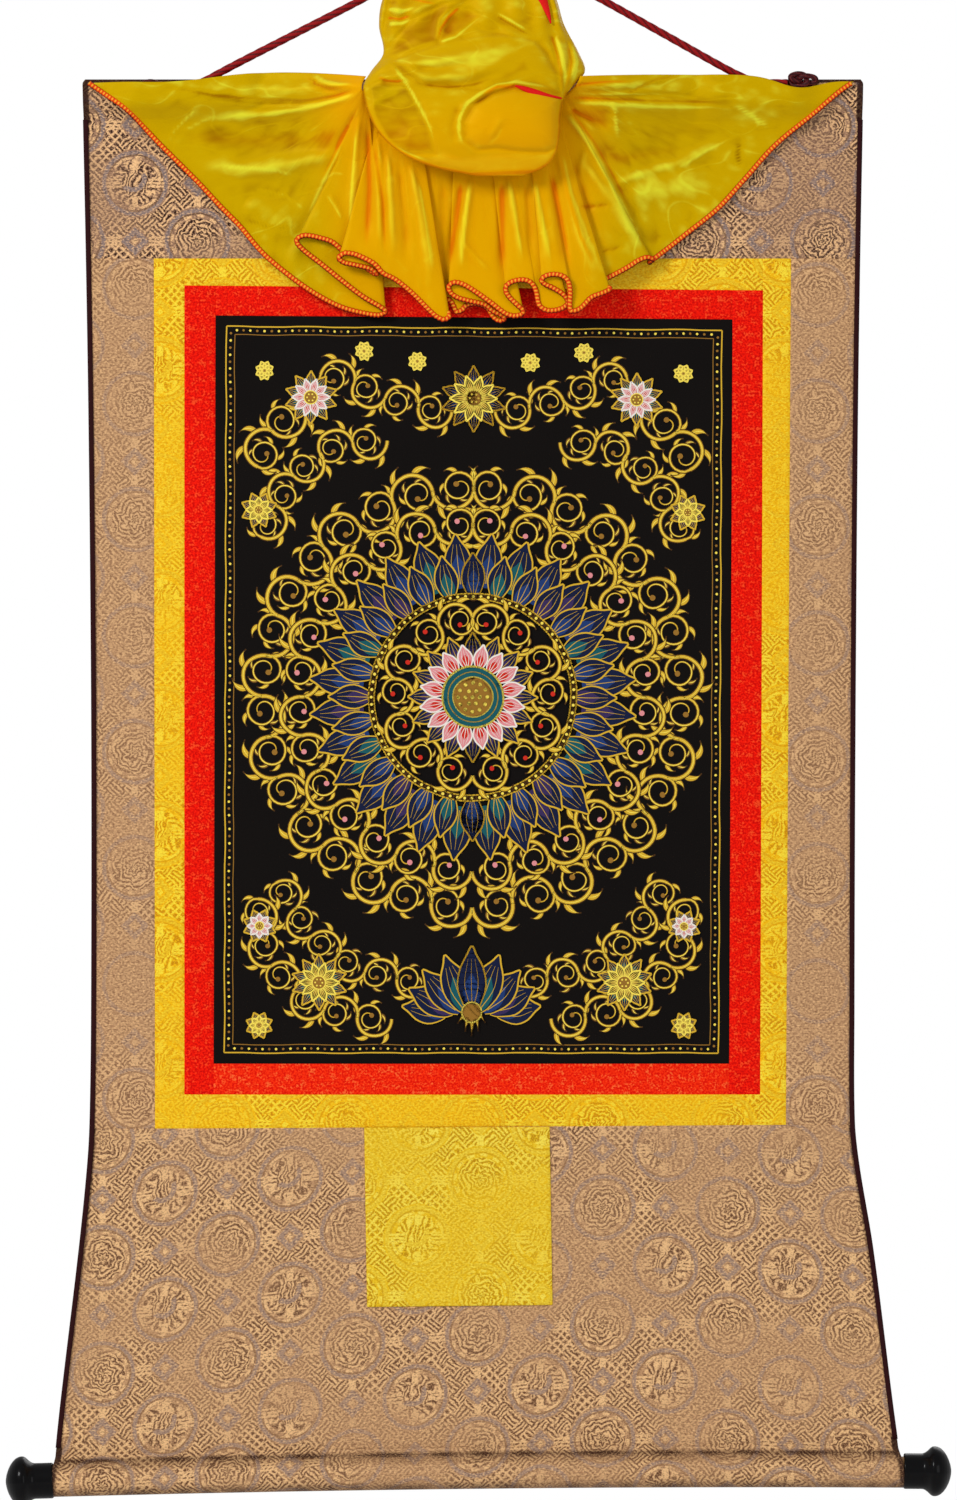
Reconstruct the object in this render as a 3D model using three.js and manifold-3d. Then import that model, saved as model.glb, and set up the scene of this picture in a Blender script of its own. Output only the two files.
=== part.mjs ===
// A hanging scroll: a picture cloth framed in red and gold silk on a brocade ground, with a
// batten in its top sleeve, a dowel with turned knobs in its bottom sleeve, a hanging cord, and
// a yellow satin cover cloth that is gathered up over the top.
// Millimetres. +Z is up, the front faces -Y, and the origin is where a nail carries the cord.
// Inside the scroll a place is given as across (to the right), drop (down from the top edge)
// and forward (towards the viewer, from the middle of the ground cloth).

import * as THREE from "three";
import { mergeVertices } from "three/addons/utils/BufferGeometryUtils.js";
import Module from "manifold-3d";

const wasm = await Module();
wasm.setup();

// Driving dimensions

const NAIL_RISE = 86; // nail above the top edge
const GAP = 0.3; // between neighbouring pieces
const CLOTH = 1; // thickness of each sewn cloth
const LAYER = CLOTH + GAP; // from the middle of one layer to the middle of the next

// The outer edges of the scroll at each drop.
const EDGES = [
  { drop: 0, left: -235.2, right: 235.6 },
  { drop: 100, left: -233.1, right: 233.7 },
  { drop: 210, left: -231.4, right: 232.2 },
  { drop: 390, left: -229.8, right: 230.8 },
  { drop: 560, left: -229.9, right: 230.2 },
  { drop: 628, left: -230.8, right: 230.4 },
  { drop: 655, left: -232.3, right: 233.2 },
  { drop: 705, left: -237.3, right: 241.5 },
  { drop: 796, left: -248.1, right: 253.0 },
  { drop: 832, left: -251.8, right: 257.8 },
  { drop: 856, left: -253.4, right: 260.6 },
];

// The nested rectangles as sewn, none of them quite square, as across and drop of each corner.
const FRAMES = [
  {
    topLeft: [-154.9, 142.3],
    topRight: [156.8, 144.7],
    bottomLeft: [-156.1, 593.4],
    bottomRight: [154.7, 593.4],
  },
  {
    topLeft: [-173.7, 124.2],
    topRight: [175.2, 127.2],
    bottomLeft: [-173.7, 612.0],
    bottomRight: [173.4, 612.0],
  },
  {
    topLeft: [-192.2, 107.9],
    topRight: [192.1, 107.9],
    bottomLeft: [-191.5, 632.6],
    bottomRight: [189.0, 630.4],
  },
];
const PATCH = {
  topLeft: [-65.1, 632.0],
  topRight: [46.3, 631.6],
  bottomLeft: [-63.4, 739.9],
  bottomRight: [48.1, 738.7],
};

const HANG = { bow: 3.2, curl: -2.6, cockle: 0.9, ease: 260 }; // how far the cloth leaves flat
const COCKLE_LENGTHS = { across: 60, drop: 110, fade: 130 };
const PANEL_ROWS = 12;
const BORDER_COLUMNS = 8;
const CORNER_SHARE = 0.05; // of the top edge, where a border's side strip is cut off

const BATTEN = { length: 462, height: 12, thickness: 5, round: 1.2 };
const TOP_HEM = 24; // how far the ground cloth comes down behind the batten
// How the cloth turns over the batten's edges: where it starts, and its middle of the turn.
const TURN = { start: 1.6, part: 0.4, forward: 0.5 };
// How the top sleeve falls back to the ground's plane below the batten.
const SLEEVE_FALL = [
  { below: 0, share: 1 },
  { below: 2.6, share: 0.8 },
  { below: 6, share: 0.2 },
  { below: 9, share: 0 },
];
const BATTEN_EASE = 1.2;
const TOP_ROWS = [50, 80]; // drops at which the top panel is cut across
const TOP_COLUMNS = 12;

const DOWEL = { radius: 8.8, left: -263.5, right: 269.5, middle: 3.5, centre: 842.1 };
const DOWEL_TILT = -6 / 540; // the left end hangs lower
const DOWEL_BOW = 2.4;
const SLEEVE_RADIUS = DOWEL.radius + 0.4 + CLOTH / 2;
const SEAM_RISE = 14; // from the dowel's middle up to the seam that closes the sleeve
const SEAM_TAIL = 5;
const SLEEVE_MOUTH = 38; // degrees from straight up to where the cloth meets the dowel's sleeve
const SEAM_LIP = { forward: 1.6, drop: 2.6 }; // the step from the seam to the sleeve
const BOTTOM_ROWS = { flat: 8, round: 14, rest: 5 };
const BOTTOM_COLUMNS = 10;

// The lining's turned edge, from its front rim round to the back, as how far in and which layer.
const TURNED_EDGE = [
  { inward: 3, layer: 1 },
  { inward: CLOTH / 2, layer: 1 },
  { inward: CLOTH / 2, layer: -1 },
];
const LINING_COLUMNS = 8; // between its two turned edges
const LINING_ROWS = 22;
const LINING_LEVEL = 700; // the drop whose width shares out the lining's columns

const KNOB = { neck: 10.75, round: 0.6, shoulder: 11.4, bore: 9.1, boreDepth: 12, sides: 28 };
// The knob's turned end beyond its neck, as radius and distance out, to the middle of its dome.
const KNOB_END = [
  [11.2, 12.6],
  [12.6, 14.4],
  [14.3, 16.4],
  [14.9, 17.9],
  [14.3, 19.6],
  [12.9, 21.4],
  [11.2, 23.2],
  [9, 25],
  [6.5, 26.6],
  [3.8, 27.7],
  [0, 28.4],
];

const CORD = { diameter: 4.6, sides: 8, steps: 72 };
// The middle of the cord, from the left knot over the nail to the right knot.
const CORD_ROUTE = [
  { across: -182.0, drop: 2.6, forward: 8.5 },
  { across: -176.0, drop: 2.6, forward: 8.5 },
  { across: -169.0, drop: 2.2, forward: 8.5 },
  { across: -161.0, drop: 0.2, forward: 8.5 },
  { across: -152.0, drop: -3.8, forward: 8.4 },
  { across: -140.0, drop: -10.0, forward: 8.0 },
  { across: -108.0, drop: -26.5, forward: 6.6 },
  { across: -60.6, drop: -51.2, forward: 4.4 },
  { across: -30.0, drop: -69.0, forward: 2.4 },
  { across: -13.0, drop: -80.2, forward: 0.8 },
  { across: -6.0, drop: -85.4, forward: 0.2 },
  { across: 0, drop: -88.3, forward: 0 },
  { across: 6.0, drop: -86.6, forward: 0.2 },
  { across: 14.0, drop: -81.8, forward: 0.8 },
  { across: 38.0, drop: -69.4, forward: 2.6 },
  { across: 76.9, drop: -48.4, forward: 4.8 },
  { across: 118.0, drop: -25.4, forward: 6.8 },
  { across: 146.0, drop: -9.6, forward: 8.0 },
  { across: 158.0, drop: -3.2, forward: 8.4 },
  { across: 167.0, drop: 0.7, forward: 8.5 },
  { across: 175.0, drop: 2.4, forward: 8.5 },
  { across: 182.0, drop: 2.6, forward: 8.5 },
  { across: 189.6, drop: 2.6, forward: 8.5 },
];
const KNOT = { width: 21, height: 10.4, depth: 6, tube: 0.3, tight: 0.8, steps: 40, sides: 7 };
const KNOT_LEFT = { across: -192.1, drop: 2.6, forward: 9.0 };
const KNOT_RIGHT = { across: 198.2, drop: 0.8, forward: 9.0 };

const COVER_THICKNESS = 1.2;
// How far the cover cloth keeps from the ground: over the sleeve, and below it.
const COVER_CLEAR = { high: 0.2, low: 2, from: 13, to: 27 };
// The cover cloth fans out from its gathered waist: a row for each fold, left to right, with
// where the fold leaves the waist, where it meets the hem, how far it sags on the way, and how
// far forward it stands at its middle and at the hem.
const FAN = [
  { fromAcross: -64, fromDrop: 0, toAcross: -229.4, toDrop: 0.4, sag: -5, mid: 7, hem: 6 },
  { fromAcross: -65, fromDrop: 2, toAcross: -221, toDrop: 8.5, sag: 0, mid: 12, hem: 9 },
  { fromAcross: -66, fromDrop: 4, toAcross: -207.4, toDrop: 19.1, sag: 3, mid: 9, hem: 7 },
  { fromAcross: -66.5, fromDrop: 5.6, toAcross: -189, toDrop: 38.6, sag: 5, mid: 13, hem: 5 },
  { fromAcross: -66.5, fromDrop: 7, toAcross: -166.7, toDrop: 60.9, sag: 6, mid: 6, hem: 4.4 },
  { fromAcross: -66, fromDrop: 8.4, toAcross: -144.7, toDrop: 84.4, sag: 5, mid: 12, hem: 5 },
  { fromAcross: -65, fromDrop: 9.8, toAcross: -126.3, toDrop: 104.9, sag: 3, mid: 7, hem: 5 },
  { fromAcross: -63.5, fromDrop: 11, toAcross: -104, toDrop: 124.2, sag: 0, mid: 12, hem: 9 },
  { fromAcross: -60, fromDrop: 12, toAcross: -82, toDrop: 136.2, sag: 0, mid: 20, hem: 17 },
  { fromAcross: -55, fromDrop: 12.5, toAcross: -60, toDrop: 141.7, sag: 0, mid: 13, hem: 9 },
  { fromAcross: -49, fromDrop: 13, toAcross: -46, toDrop: 124, sag: 0, mid: 20, hem: 22 },
  { fromAcross: -43, fromDrop: 13, toAcross: -35, toDrop: 131.5, sag: 0, mid: 14, hem: 12 },
  { fromAcross: -36, fromDrop: 13, toAcross: -23.8, toDrop: 143.5, sag: 0, mid: 21, hem: 24 },
  { fromAcross: -28, fromDrop: 13, toAcross: -13.5, toDrop: 134, sag: 0, mid: 14, hem: 11 },
  { fromAcross: -19, fromDrop: 13, toAcross: -4, toDrop: 127, sag: 0, mid: 20, hem: 21 },
  { fromAcross: -8, fromDrop: 13, toAcross: 8, toDrop: 135.5, sag: 0, mid: 14, hem: 12 },
  { fromAcross: 4, fromDrop: 13, toAcross: 21, toDrop: 142.3, sag: 0, mid: 20, hem: 24 },
  { fromAcross: 15, fromDrop: 13, toAcross: 31, toDrop: 130, sag: 0, mid: 14, hem: 11 },
  { fromAcross: 25, fromDrop: 13, toAcross: 41, toDrop: 135.5, sag: 0, mid: 20, hem: 24 },
  { fromAcross: 33, fromDrop: 13, toAcross: 51, toDrop: 130, sag: 0, mid: 14, hem: 13 },
  { fromAcross: 40, fromDrop: 13, toAcross: 60.5, toDrop: 140.5, sag: 0, mid: 20, hem: 24 },
  { fromAcross: 46, fromDrop: 12.5, toAcross: 79, toDrop: 128.6, sag: 0, mid: 13, hem: 10 },
  { fromAcross: 51, fromDrop: 12, toAcross: 93, toDrop: 114.5, sag: 0, mid: 18, hem: 16 },
  { fromAcross: 55, fromDrop: 11, toAcross: 108.8, toDrop: 107.7, sag: 0, mid: 10, hem: 7 },
  { fromAcross: 57.5, fromDrop: 9.8, toAcross: 129.3, toDrop: 92.9, sag: 2, mid: 14, hem: 6 },
  { fromAcross: 59, fromDrop: 8.4, toAcross: 147.4, toDrop: 78.4, sag: 3, mid: 7, hem: 5 },
  { fromAcross: 60.5, fromDrop: 7, toAcross: 164.3, toDrop: 60, sag: 4, mid: 12, hem: 4.6 },
  { fromAcross: 62, fromDrop: 5.6, toAcross: 180.6, toDrop: 41.6, sag: 4, mid: 6.5, hem: 4.6 },
  { fromAcross: 63, fromDrop: 4, toAcross: 199, toDrop: 25.3, sag: 3, mid: 12, hem: 5.6 },
  { fromAcross: 64, fromDrop: 2, toAcross: 218, toDrop: 9.5, sag: 2, mid: 9, hem: 8.6 },
  { fromAcross: 64.5, fromDrop: 0, toAcross: 228.2, toDrop: 2.4, sag: -3, mid: 7, hem: 6 },
];
const FAN_COLUMNS = 66;
const FAN_ROWS = 10;
// The cover cloth bulges over the cord's two ends where they lie along the top edge.
const BULGES = [
  { from: -201, to: -138, fade: 24, height: 7.4 },
  { from: 150, to: 190, fade: 22, height: 6.2 },
];
const BULGE_DROP = { from: 6, to: 26 };
// The right knot stands above a dip in the cover cloth's top edge.
const KNOT_DIP = { across: 196, depth: 6.2, spread: 17, rim: 0.03 };

// The gathered bunch and the pouch below it, from the top down: the outline of each section.
const BAG = [
  { drop: -86, left: -13, right: 14, back: 7, front: 17 },
  { drop: -84, left: -18, right: 19, back: 5, front: 21 },
  { drop: -80, left: -19.5, right: 21, back: 4.2, front: 22.5 },
  { drop: -75, left: -24.5, right: 25.5, back: 5, front: 25 },
  { drop: -64, left: -42, right: 38.5, back: 8.5, front: 31 },
  { drop: -48.2, left: -53.4, right: 49.7, back: 10, front: 35 },
  { drop: -31.4, left: -56.2, right: 55, back: 10, front: 38 },
  { drop: -14, left: -53.6, right: 64, back: 10.5, front: 41 },
  { drop: -3, left: -61, right: 67.5, back: 11.5, front: 44 },
  { drop: 6, left: -66, right: 60, back: 12, front: 46 },
  { drop: 13.3, left: -65, right: 55, back: 12.6, front: 48 },
  { drop: 22, left: -62.8, right: 53, back: 18, front: 49 },
  { drop: 36.2, left: -54.6, right: 52.3, back: 24, front: 48 },
  { drop: 48.8, left: -38.9, right: 49, back: 28, front: 44 },
  { drop: 55.5, left: -20.8, right: 42, back: 30, front: 40 },
  { drop: 60, left: 2, right: 30, back: 32, front: 37 },
];
const BAG_SIDES = 30;
const BAG_ROWS = 16;
const BAG_WALL = 2;
const BAG_OPEN_BELOW = 16; // under this drop the pouch is open towards the skirt
const BAG_OPEN_BACK = 8; // how far behind its back wall the pouch is cut away
// Pleats round the bunch, which fade out on the way down to the pouch.
const PLEATS = { count: 9, height: 0.04, from: -20, to: 10 };

// The ribbon that ties the bunch to both legs of the cord, and its loose end.
const RIBBON = { thickness: 1, width: 6, drop: -80.5, left: -26, right: 31, back: -2.4, front: 24 };
const RIBBON_END = { top: -80, tip: -31.5, fromAcross: 28, toAcross: 47.5, width: 8.4, lift: 4 };
const RIBBON_TAPER = { from: 0.35, to: 1.05, rows: 10, columns: 2 };
const RIBBON_RING = { sides: 32, power: 0.45 }; // a power below 1 squares the ring's corners

const COLOURS = {
  picture: { color: 0x14110d, roughness: 0.75 },
  red: { color: 0xe51a0c, roughness: 0.6 },
  gold: { color: 0xe6b41e, roughness: 0.5 },
  brocade: { color: 0xb98a68, roughness: 0.5 },
  lining: { color: 0x4a1418, roughness: 0.8 },
  satin: { color: 0xe2b80c, roughness: 0.38 },
  ribbon: { color: 0xb80d12, roughness: 0.5 },
  cord: { color: 0x8c0a12, roughness: 0.6 },
  knot: { color: 0x451014, roughness: 0.6 },
  wood: { color: 0xa97c4e, roughness: 0.7 },
  lacquer: { color: 0x0b0b0d, roughness: 0.12 },
};

// Small mathematics

const mix = (a, b, t) => a + (b - a) * t;

function smoothStep(from, to, value) {
  const t = Math.min(1, Math.max(0, (value - from) / (to - from)));
  return t * t * (3 - 2 * t);
}

function hump(value, centre, spread) {
  return Math.exp(-(((value - centre) / spread) ** 2));
}

// A smooth curve through one column of a table, by the values of another column.
function readTable(rows, by, column, value) {
  const last = rows.length - 1;
  let i = 0;
  while (i < last - 1 && value > rows[i + 1][by]) i += 1;
  const slope = (k) => {
    const a = rows[Math.max(0, k - 1)];
    const b = rows[Math.min(last, k + 1)];
    return (b[column] - a[column]) / (b[by] - a[by]);
  };
  const span = rows[i + 1][by] - rows[i][by];
  const t = Math.min(1, Math.max(0, (value - rows[i][by]) / span));
  const start = rows[i][column];
  const end = rows[i + 1][column];
  const rise = 3 * (end - start) - span * (2 * slope(i) + slope(i + 1));
  const turn = 2 * (start - end) + span * (slope(i) + slope(i + 1));
  return start + t * (span * slope(i) + t * (rise + t * turn));
}

// A smooth curve through one column of a table, by the row number.
function readRows(rows, column, position) {
  const last = rows.length - 1;
  const i = Math.min(last - 1, Math.floor(position));
  const t = position - i;
  const value = (k) => rows[Math.min(last, Math.max(0, k))][column];
  const start = (value(i + 1) - value(i - 1)) / 2;
  const end = (value(i + 2) - value(i)) / 2;
  const step = value(i + 1) - value(i);
  return value(i) + t * (start + t * (3 * step - 2 * start - end + t * (start + end - 2 * step)));
}

function place({ across, drop, forward }) {
  return new THREE.Vector3(across, -forward, -drop);
}

// How the sewn cloth hangs

const leftEdge = (drop) => readTable(EDGES, "drop", "left", drop);
const rightEdge = (drop) => readTable(EDGES, "drop", "right", drop);

function dowelDrop(across) {
  const out = (across - DOWEL.middle) / (DOWEL.right - DOWEL.middle);
  return DOWEL.centre + DOWEL_TILT * (across - DOWEL.middle) - DOWEL_BOW * (1 - out * out);
}

// The ground cloth bows a little forward, its sides curl back and it cockles.
function hang(across, drop) {
  const length = DOWEL.centre - SEAM_RISE;
  const foot = 1 - smoothStep(length - HANG.ease, length, drop);
  const free = smoothStep(TOP_HEM, HANG.ease, drop) * foot;
  const side = across / rightEdge(0);
  const bow = HANG.bow * (1 - side * side);
  const curl = HANG.curl * side ** 4;
  const wave = Math.sin(across / COCKLE_LENGTHS.across + drop / COCKLE_LENGTHS.drop);
  const cockle = HANG.cockle * wave * Math.sin(drop / COCKLE_LENGTHS.fade);
  return free * (bow + curl + cockle);
}

// Bodies

function meshOf(name, geometry, finish) {
  const material = new THREE.MeshStandardMaterial({ metalness: 0, ...finish });
  const mesh = new THREE.Mesh(geometry, material);
  mesh.name = name;
  return mesh;
}

function positionsOnly(geometry) {
  const bare = geometry.clone();
  for (const key of Object.keys(bare.attributes)) {
    if (key !== "position") bare.deleteAttribute(key);
  }
  return mergeVertices(bare, 1e-4);
}

function volumeOf(points, triangles) {
  let sum = 0;
  const cross = new THREE.Vector3();
  for (const [a, b, c] of triangles) {
    sum += points[a].dot(cross.crossVectors(points[b], points[c]));
  }
  return sum / 6;
}

function geometryOf(points, triangles) {
  const outwards = volumeOf(points, triangles) > 0;
  const index = triangles.flatMap(([a, b, c]) => (outwards ? [a, b, c] : [a, c, b]));
  const geometry = new THREE.BufferGeometry();
  geometry.setAttribute(
    "position",
    new THREE.Float32BufferAttribute(points.flatMap((p) => [p.x, p.y, p.z]), 3),
  );
  geometry.setIndex(index);
  geometry.computeVertexNormals();
  return geometry;
}

// A sheet of cloth: middleAt(u, v) gives its middle, and it is thickened on both sides, square
// to the surface, or straight towards the viewer where that is asked for.
function clothSheet({ rows, columns, thickness, middleAt, straight = false }) {
  const middle = [];
  for (let i = 0; i <= rows; i += 1) {
    for (let j = 0; j <= columns; j += 1) {
      middle.push(place(middleAt(j / columns, i / rows)));
    }
  }
  const at = (i, j) => {
    const row = Math.min(rows, Math.max(0, i));
    const column = Math.min(columns, Math.max(0, j));
    return row * (columns + 1) + column;
  };
  const half = [];
  for (let i = 0; i <= rows; i += 1) {
    for (let j = 0; j <= columns; j += 1) {
      const along = middle[at(i, j + 1)].clone().sub(middle[at(i, j - 1)]);
      const down = middle[at(i + 1, j)].clone().sub(middle[at(i - 1, j)]);
      const normal = straight ? new THREE.Vector3(0, -1, 0) : down.cross(along).normalize();
      half.push(normal.multiplyScalar(thickness / 2));
    }
  }
  const fronts = middle.map((p, k) => p.clone().add(half[k]));
  const backs = middle.map((p, k) => p.clone().sub(half[k]));
  const points = fronts.concat(backs);
  const behind = middle.length;
  const triangles = [];
  const quad = (a, b, c, d) => triangles.push([a, b, c], [a, c, d]);
  for (let i = 0; i < rows; i += 1) {
    for (let j = 0; j < columns; j += 1) {
      const corners = [at(i, j), at(i + 1, j), at(i + 1, j + 1), at(i, j + 1)];
      quad(...corners);
      quad(...corners.map((k) => k + behind).reverse());
    }
  }
  const rim = [];
  for (let j = 0; j < columns; j += 1) rim.push(at(0, j));
  for (let i = 0; i < rows; i += 1) rim.push(at(i, columns));
  for (let j = columns; j > 0; j -= 1) rim.push(at(rows, j));
  for (let i = rows; i > 0; i -= 1) rim.push(at(i, 0));
  rim.forEach((a, k) => {
    const b = rim[(k + 1) % rim.length];
    quad(a, b, b + behind, a + behind);
  });
  return geometryOf(points, triangles);
}

// A closed body through rings of points, each ring with as many points.
function loft(rings) {
  const sides = rings[0].length;
  const points = rings.flat();
  const triangles = [];
  for (let i = 0; i < rings.length - 1; i += 1) {
    for (let j = 0; j < sides; j += 1) {
      const a = i * sides + j;
      const b = i * sides + ((j + 1) % sides);
      triangles.push([a, b, b + sides], [a, b + sides, a + sides]);
    }
  }
  const close = (first, flip) => {
    const centre = new THREE.Vector3();
    for (let j = 0; j < sides; j += 1) centre.addScaledVector(points[first + j], 1 / sides);
    points.push(centre);
    for (let j = 0; j < sides; j += 1) {
      const a = first + j;
      const b = first + ((j + 1) % sides);
      triangles.push(flip ? [b, a, points.length - 1] : [a, b, points.length - 1]);
    }
  };
  close(0, true);
  close((rings.length - 1) * sides, false);
  return geometryOf(points, triangles);
}

function solidOf(geometry) {
  const bare = positionsOnly(geometry);
  return new wasm.Manifold(
    new wasm.Mesh({
      numProp: 3,
      vertProperties: new Float32Array(bare.attributes.position.array),
      triVerts: new Uint32Array(bare.index.array),
    }),
  );
}

function geometryFrom(solid) {
  const { vertProperties, triVerts, numProp } = solid.getMesh();
  const points = [];
  for (let k = 0; k < vertProperties.length; k += numProp) {
    points.push(...vertProperties.slice(k, k + 3));
  }
  const geometry = new THREE.BufferGeometry();
  geometry.setAttribute("position", new THREE.Float32BufferAttribute(points, 3));
  geometry.setIndex([...triVerts]);
  geometry.computeVertexNormals();
  return geometry;
}

// Sewn panels

// A four-cornered panel in the ground cloth's plane, drawn in by half a gap all round.
function panel(name, corners, finish, { layer = 0, rows = 8, columns = 2 } = {}) {
  const inset = GAP / 2;
  const middleAt = (u, v) => {
    const side = (k) => {
      const top = mix(corners.topLeft[k], corners.topRight[k], u);
      const bottom = mix(corners.bottomLeft[k], corners.bottomRight[k], u);
      return mix(top, bottom, v);
    };
    const across = side(0) + inset * (1 - 2 * u);
    const drop = side(1) + inset * (1 - 2 * v);
    return { across, drop, forward: layer * LAYER + hang(across, drop) };
  };
  const geometry = clothSheet({ rows, columns, thickness: CLOTH, middleAt });
  return meshOf(name, geometry, finish);
}

// The four strips of a border between two nested rectangles. The side strips run full height.
function border(prefix, inner, outer, finish) {
  const near = (edge) => mix(outer[`${edge}Left`][1], outer[`${edge}Right`][1], CORNER_SHARE);
  const far = (edge) => mix(outer[`${edge}Left`][1], outer[`${edge}Right`][1], 1 - CORNER_SHARE);
  const strips = [
    {
      side: "left",
      topLeft: outer.topLeft,
      topRight: [inner.topLeft[0], near("top")],
      bottomLeft: outer.bottomLeft,
      bottomRight: [inner.bottomLeft[0], near("bottom")],
    },
    {
      side: "right",
      topLeft: [inner.topRight[0], far("top")],
      topRight: outer.topRight,
      bottomLeft: [inner.bottomRight[0], far("bottom")],
      bottomRight: outer.bottomRight,
    },
  ];
  strips.push(
    {
      side: "top",
      topLeft: strips[0].topRight,
      topRight: strips[1].topLeft,
      bottomLeft: inner.topLeft,
      bottomRight: inner.topRight,
    },
    {
      side: "bottom",
      topLeft: inner.bottomLeft,
      topRight: inner.bottomRight,
      bottomLeft: strips[0].bottomRight,
      bottomRight: strips[1].bottomLeft,
    },
  );
  return strips.map((strip) => {
    const upright = strip.side === "left" || strip.side === "right";
    const cuts = upright
      ? { rows: PANEL_ROWS, columns: 1 }
      : { rows: 1, columns: BORDER_COLUMNS };
    return panel(`${prefix}_${strip.side}`, strip, finish, cuts);
  });
}

// The brocade strips at the sides of the borders, which end inside the lining's turned edge.
function brocadeSide(side) {
  const outer = FRAMES[2];
  const isLeft = side === "left";
  const [top, bottom] = isLeft
    ? [outer.topLeft, outer.bottomLeft]
    : [outer.topRight, outer.bottomRight];
  const middleAt = (u, v) => {
    const drop = mix(top[1] + GAP / 2, bottom[1] - GAP / 2, v);
    const inner = mix(top[0], bottom[0], v) + (isLeft ? -GAP / 2 : GAP / 2);
    const rim = isLeft ? leftEdge(drop) + LAYER : rightEdge(drop) - LAYER;
    const across = isLeft ? mix(rim, inner, u) : mix(inner, rim, u);
    return { across, drop, forward: hang(across, drop) };
  };
  const geometry = clothSheet({ rows: PANEL_ROWS, columns: 2, thickness: CLOTH, middleAt });
  return meshOf(`brocade_${side}`, geometry, COLOURS.brocade);
}

// A panel that runs along a path of forward and drop, between the scroll's two edges.
function sweptPanel(name, pathAt, rows, columns, finish) {
  const middleAt = (u, v) => {
    const guess = mix(leftEdge(pathAt(0, v).drop), rightEdge(pathAt(0, v).drop), u);
    const { drop, forward } = pathAt(guess, v);
    const across = mix(leftEdge(drop) + LAYER, rightEdge(drop) - LAYER, u);
    return { across, drop, forward: forward + hang(across, drop) };
  };
  return meshOf(name, clothSheet({ rows, columns, thickness: CLOTH, middleAt }), finish);
}

// Walks evenly from one point of a path to the next.
function walk(path, v) {
  const position = v * (path.length - 1);
  const i = Math.min(path.length - 2, Math.floor(position));
  const t = position - i;
  return {
    forward: mix(path[i].forward, path[i + 1].forward, t),
    drop: mix(path[i].drop, path[i + 1].drop, t),
  };
}

const BATTEN_FRONT = -LAYER + CLOTH / 2 + GAP + BATTEN.thickness; // its front face
const SLEEVE_FRONT = BATTEN_FRONT + GAP + CLOTH / 2; // middle of the cloth in front of it

// Up the front, over the batten and down behind it.
function brocadeTop() {
  const crown = CLOTH / 2;
  const path = [
    { forward: -LAYER, drop: TOP_HEM },
    { forward: -LAYER, drop: TOP_HEM / 2 },
    { forward: -LAYER, drop: crown + TURN.start },
    { forward: -LAYER + TURN.forward, drop: crown + TURN.part },
    { forward: -LAYER + TURN.start, drop: crown },
    { forward: SLEEVE_FRONT - TURN.start, drop: crown },
    { forward: SLEEVE_FRONT - TURN.forward, drop: crown + TURN.part },
    { forward: SLEEVE_FRONT, drop: crown + TURN.start },
  ];
  const under = crown + BATTEN.height + BATTEN_EASE;
  for (const { below, share } of SLEEVE_FALL) {
    path.push({ forward: SLEEVE_FRONT * share, drop: under + below });
  }
  for (const drop of TOP_ROWS) path.push({ forward: 0, drop });
  path.push({ forward: 0, drop: FRAMES[2].topLeft[1] - GAP / 2 });
  const pathAt = (across, v) => walk(path, v);
  return sweptPanel("brocade_top", pathAt, path.length - 1, TOP_COLUMNS, COLOURS.brocade);
}

// Down to the seam, forward round the dowel and up behind it to the seam again.
function brocadeBottom() {
  const outer = FRAMES[2];
  const start = THREE.MathUtils.degToRad(SLEEVE_MOUTH);
  const turn = 2 * Math.PI - 2 * start;
  const pathAt = (across, v) => {
    const centre = dowelDrop(across);
    const seam = centre - SEAM_RISE;
    const width = outer.bottomRight[0] - outer.bottomLeft[0];
    const side = THREE.MathUtils.clamp((across - outer.bottomLeft[0]) / width, 0, 1);
    const top = mix(outer.bottomLeft[1], outer.bottomRight[1], side) + GAP / 2;
    const path = [];
    for (let i = 0; i <= BOTTOM_ROWS.flat; i += 1) {
      path.push({ forward: 0, drop: mix(top, seam, i / BOTTOM_ROWS.flat) });
    }
    path.push({ forward: SEAM_LIP.forward, drop: seam + SEAM_LIP.drop });
    for (let i = 0; i <= BOTTOM_ROWS.round; i += 1) {
      const angle = start + (turn * i) / BOTTOM_ROWS.round;
      path.push({
        forward: SLEEVE_RADIUS * Math.sin(angle),
        drop: centre - SLEEVE_RADIUS * Math.cos(angle),
      });
    }
    path.push({ forward: -SEAM_LIP.forward - LAYER, drop: seam + SEAM_LIP.drop });
    path.push({ forward: -LAYER, drop: seam });
    path.push({ forward: -LAYER, drop: seam - SEAM_TAIL });
    return walk(path, v);
  };
  const rows = BOTTOM_ROWS.flat + BOTTOM_ROWS.round + BOTTOM_ROWS.rest;
  return sweptPanel("brocade_bottom", pathAt, rows, BOTTOM_COLUMNS, COLOURS.brocade);
}

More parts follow.
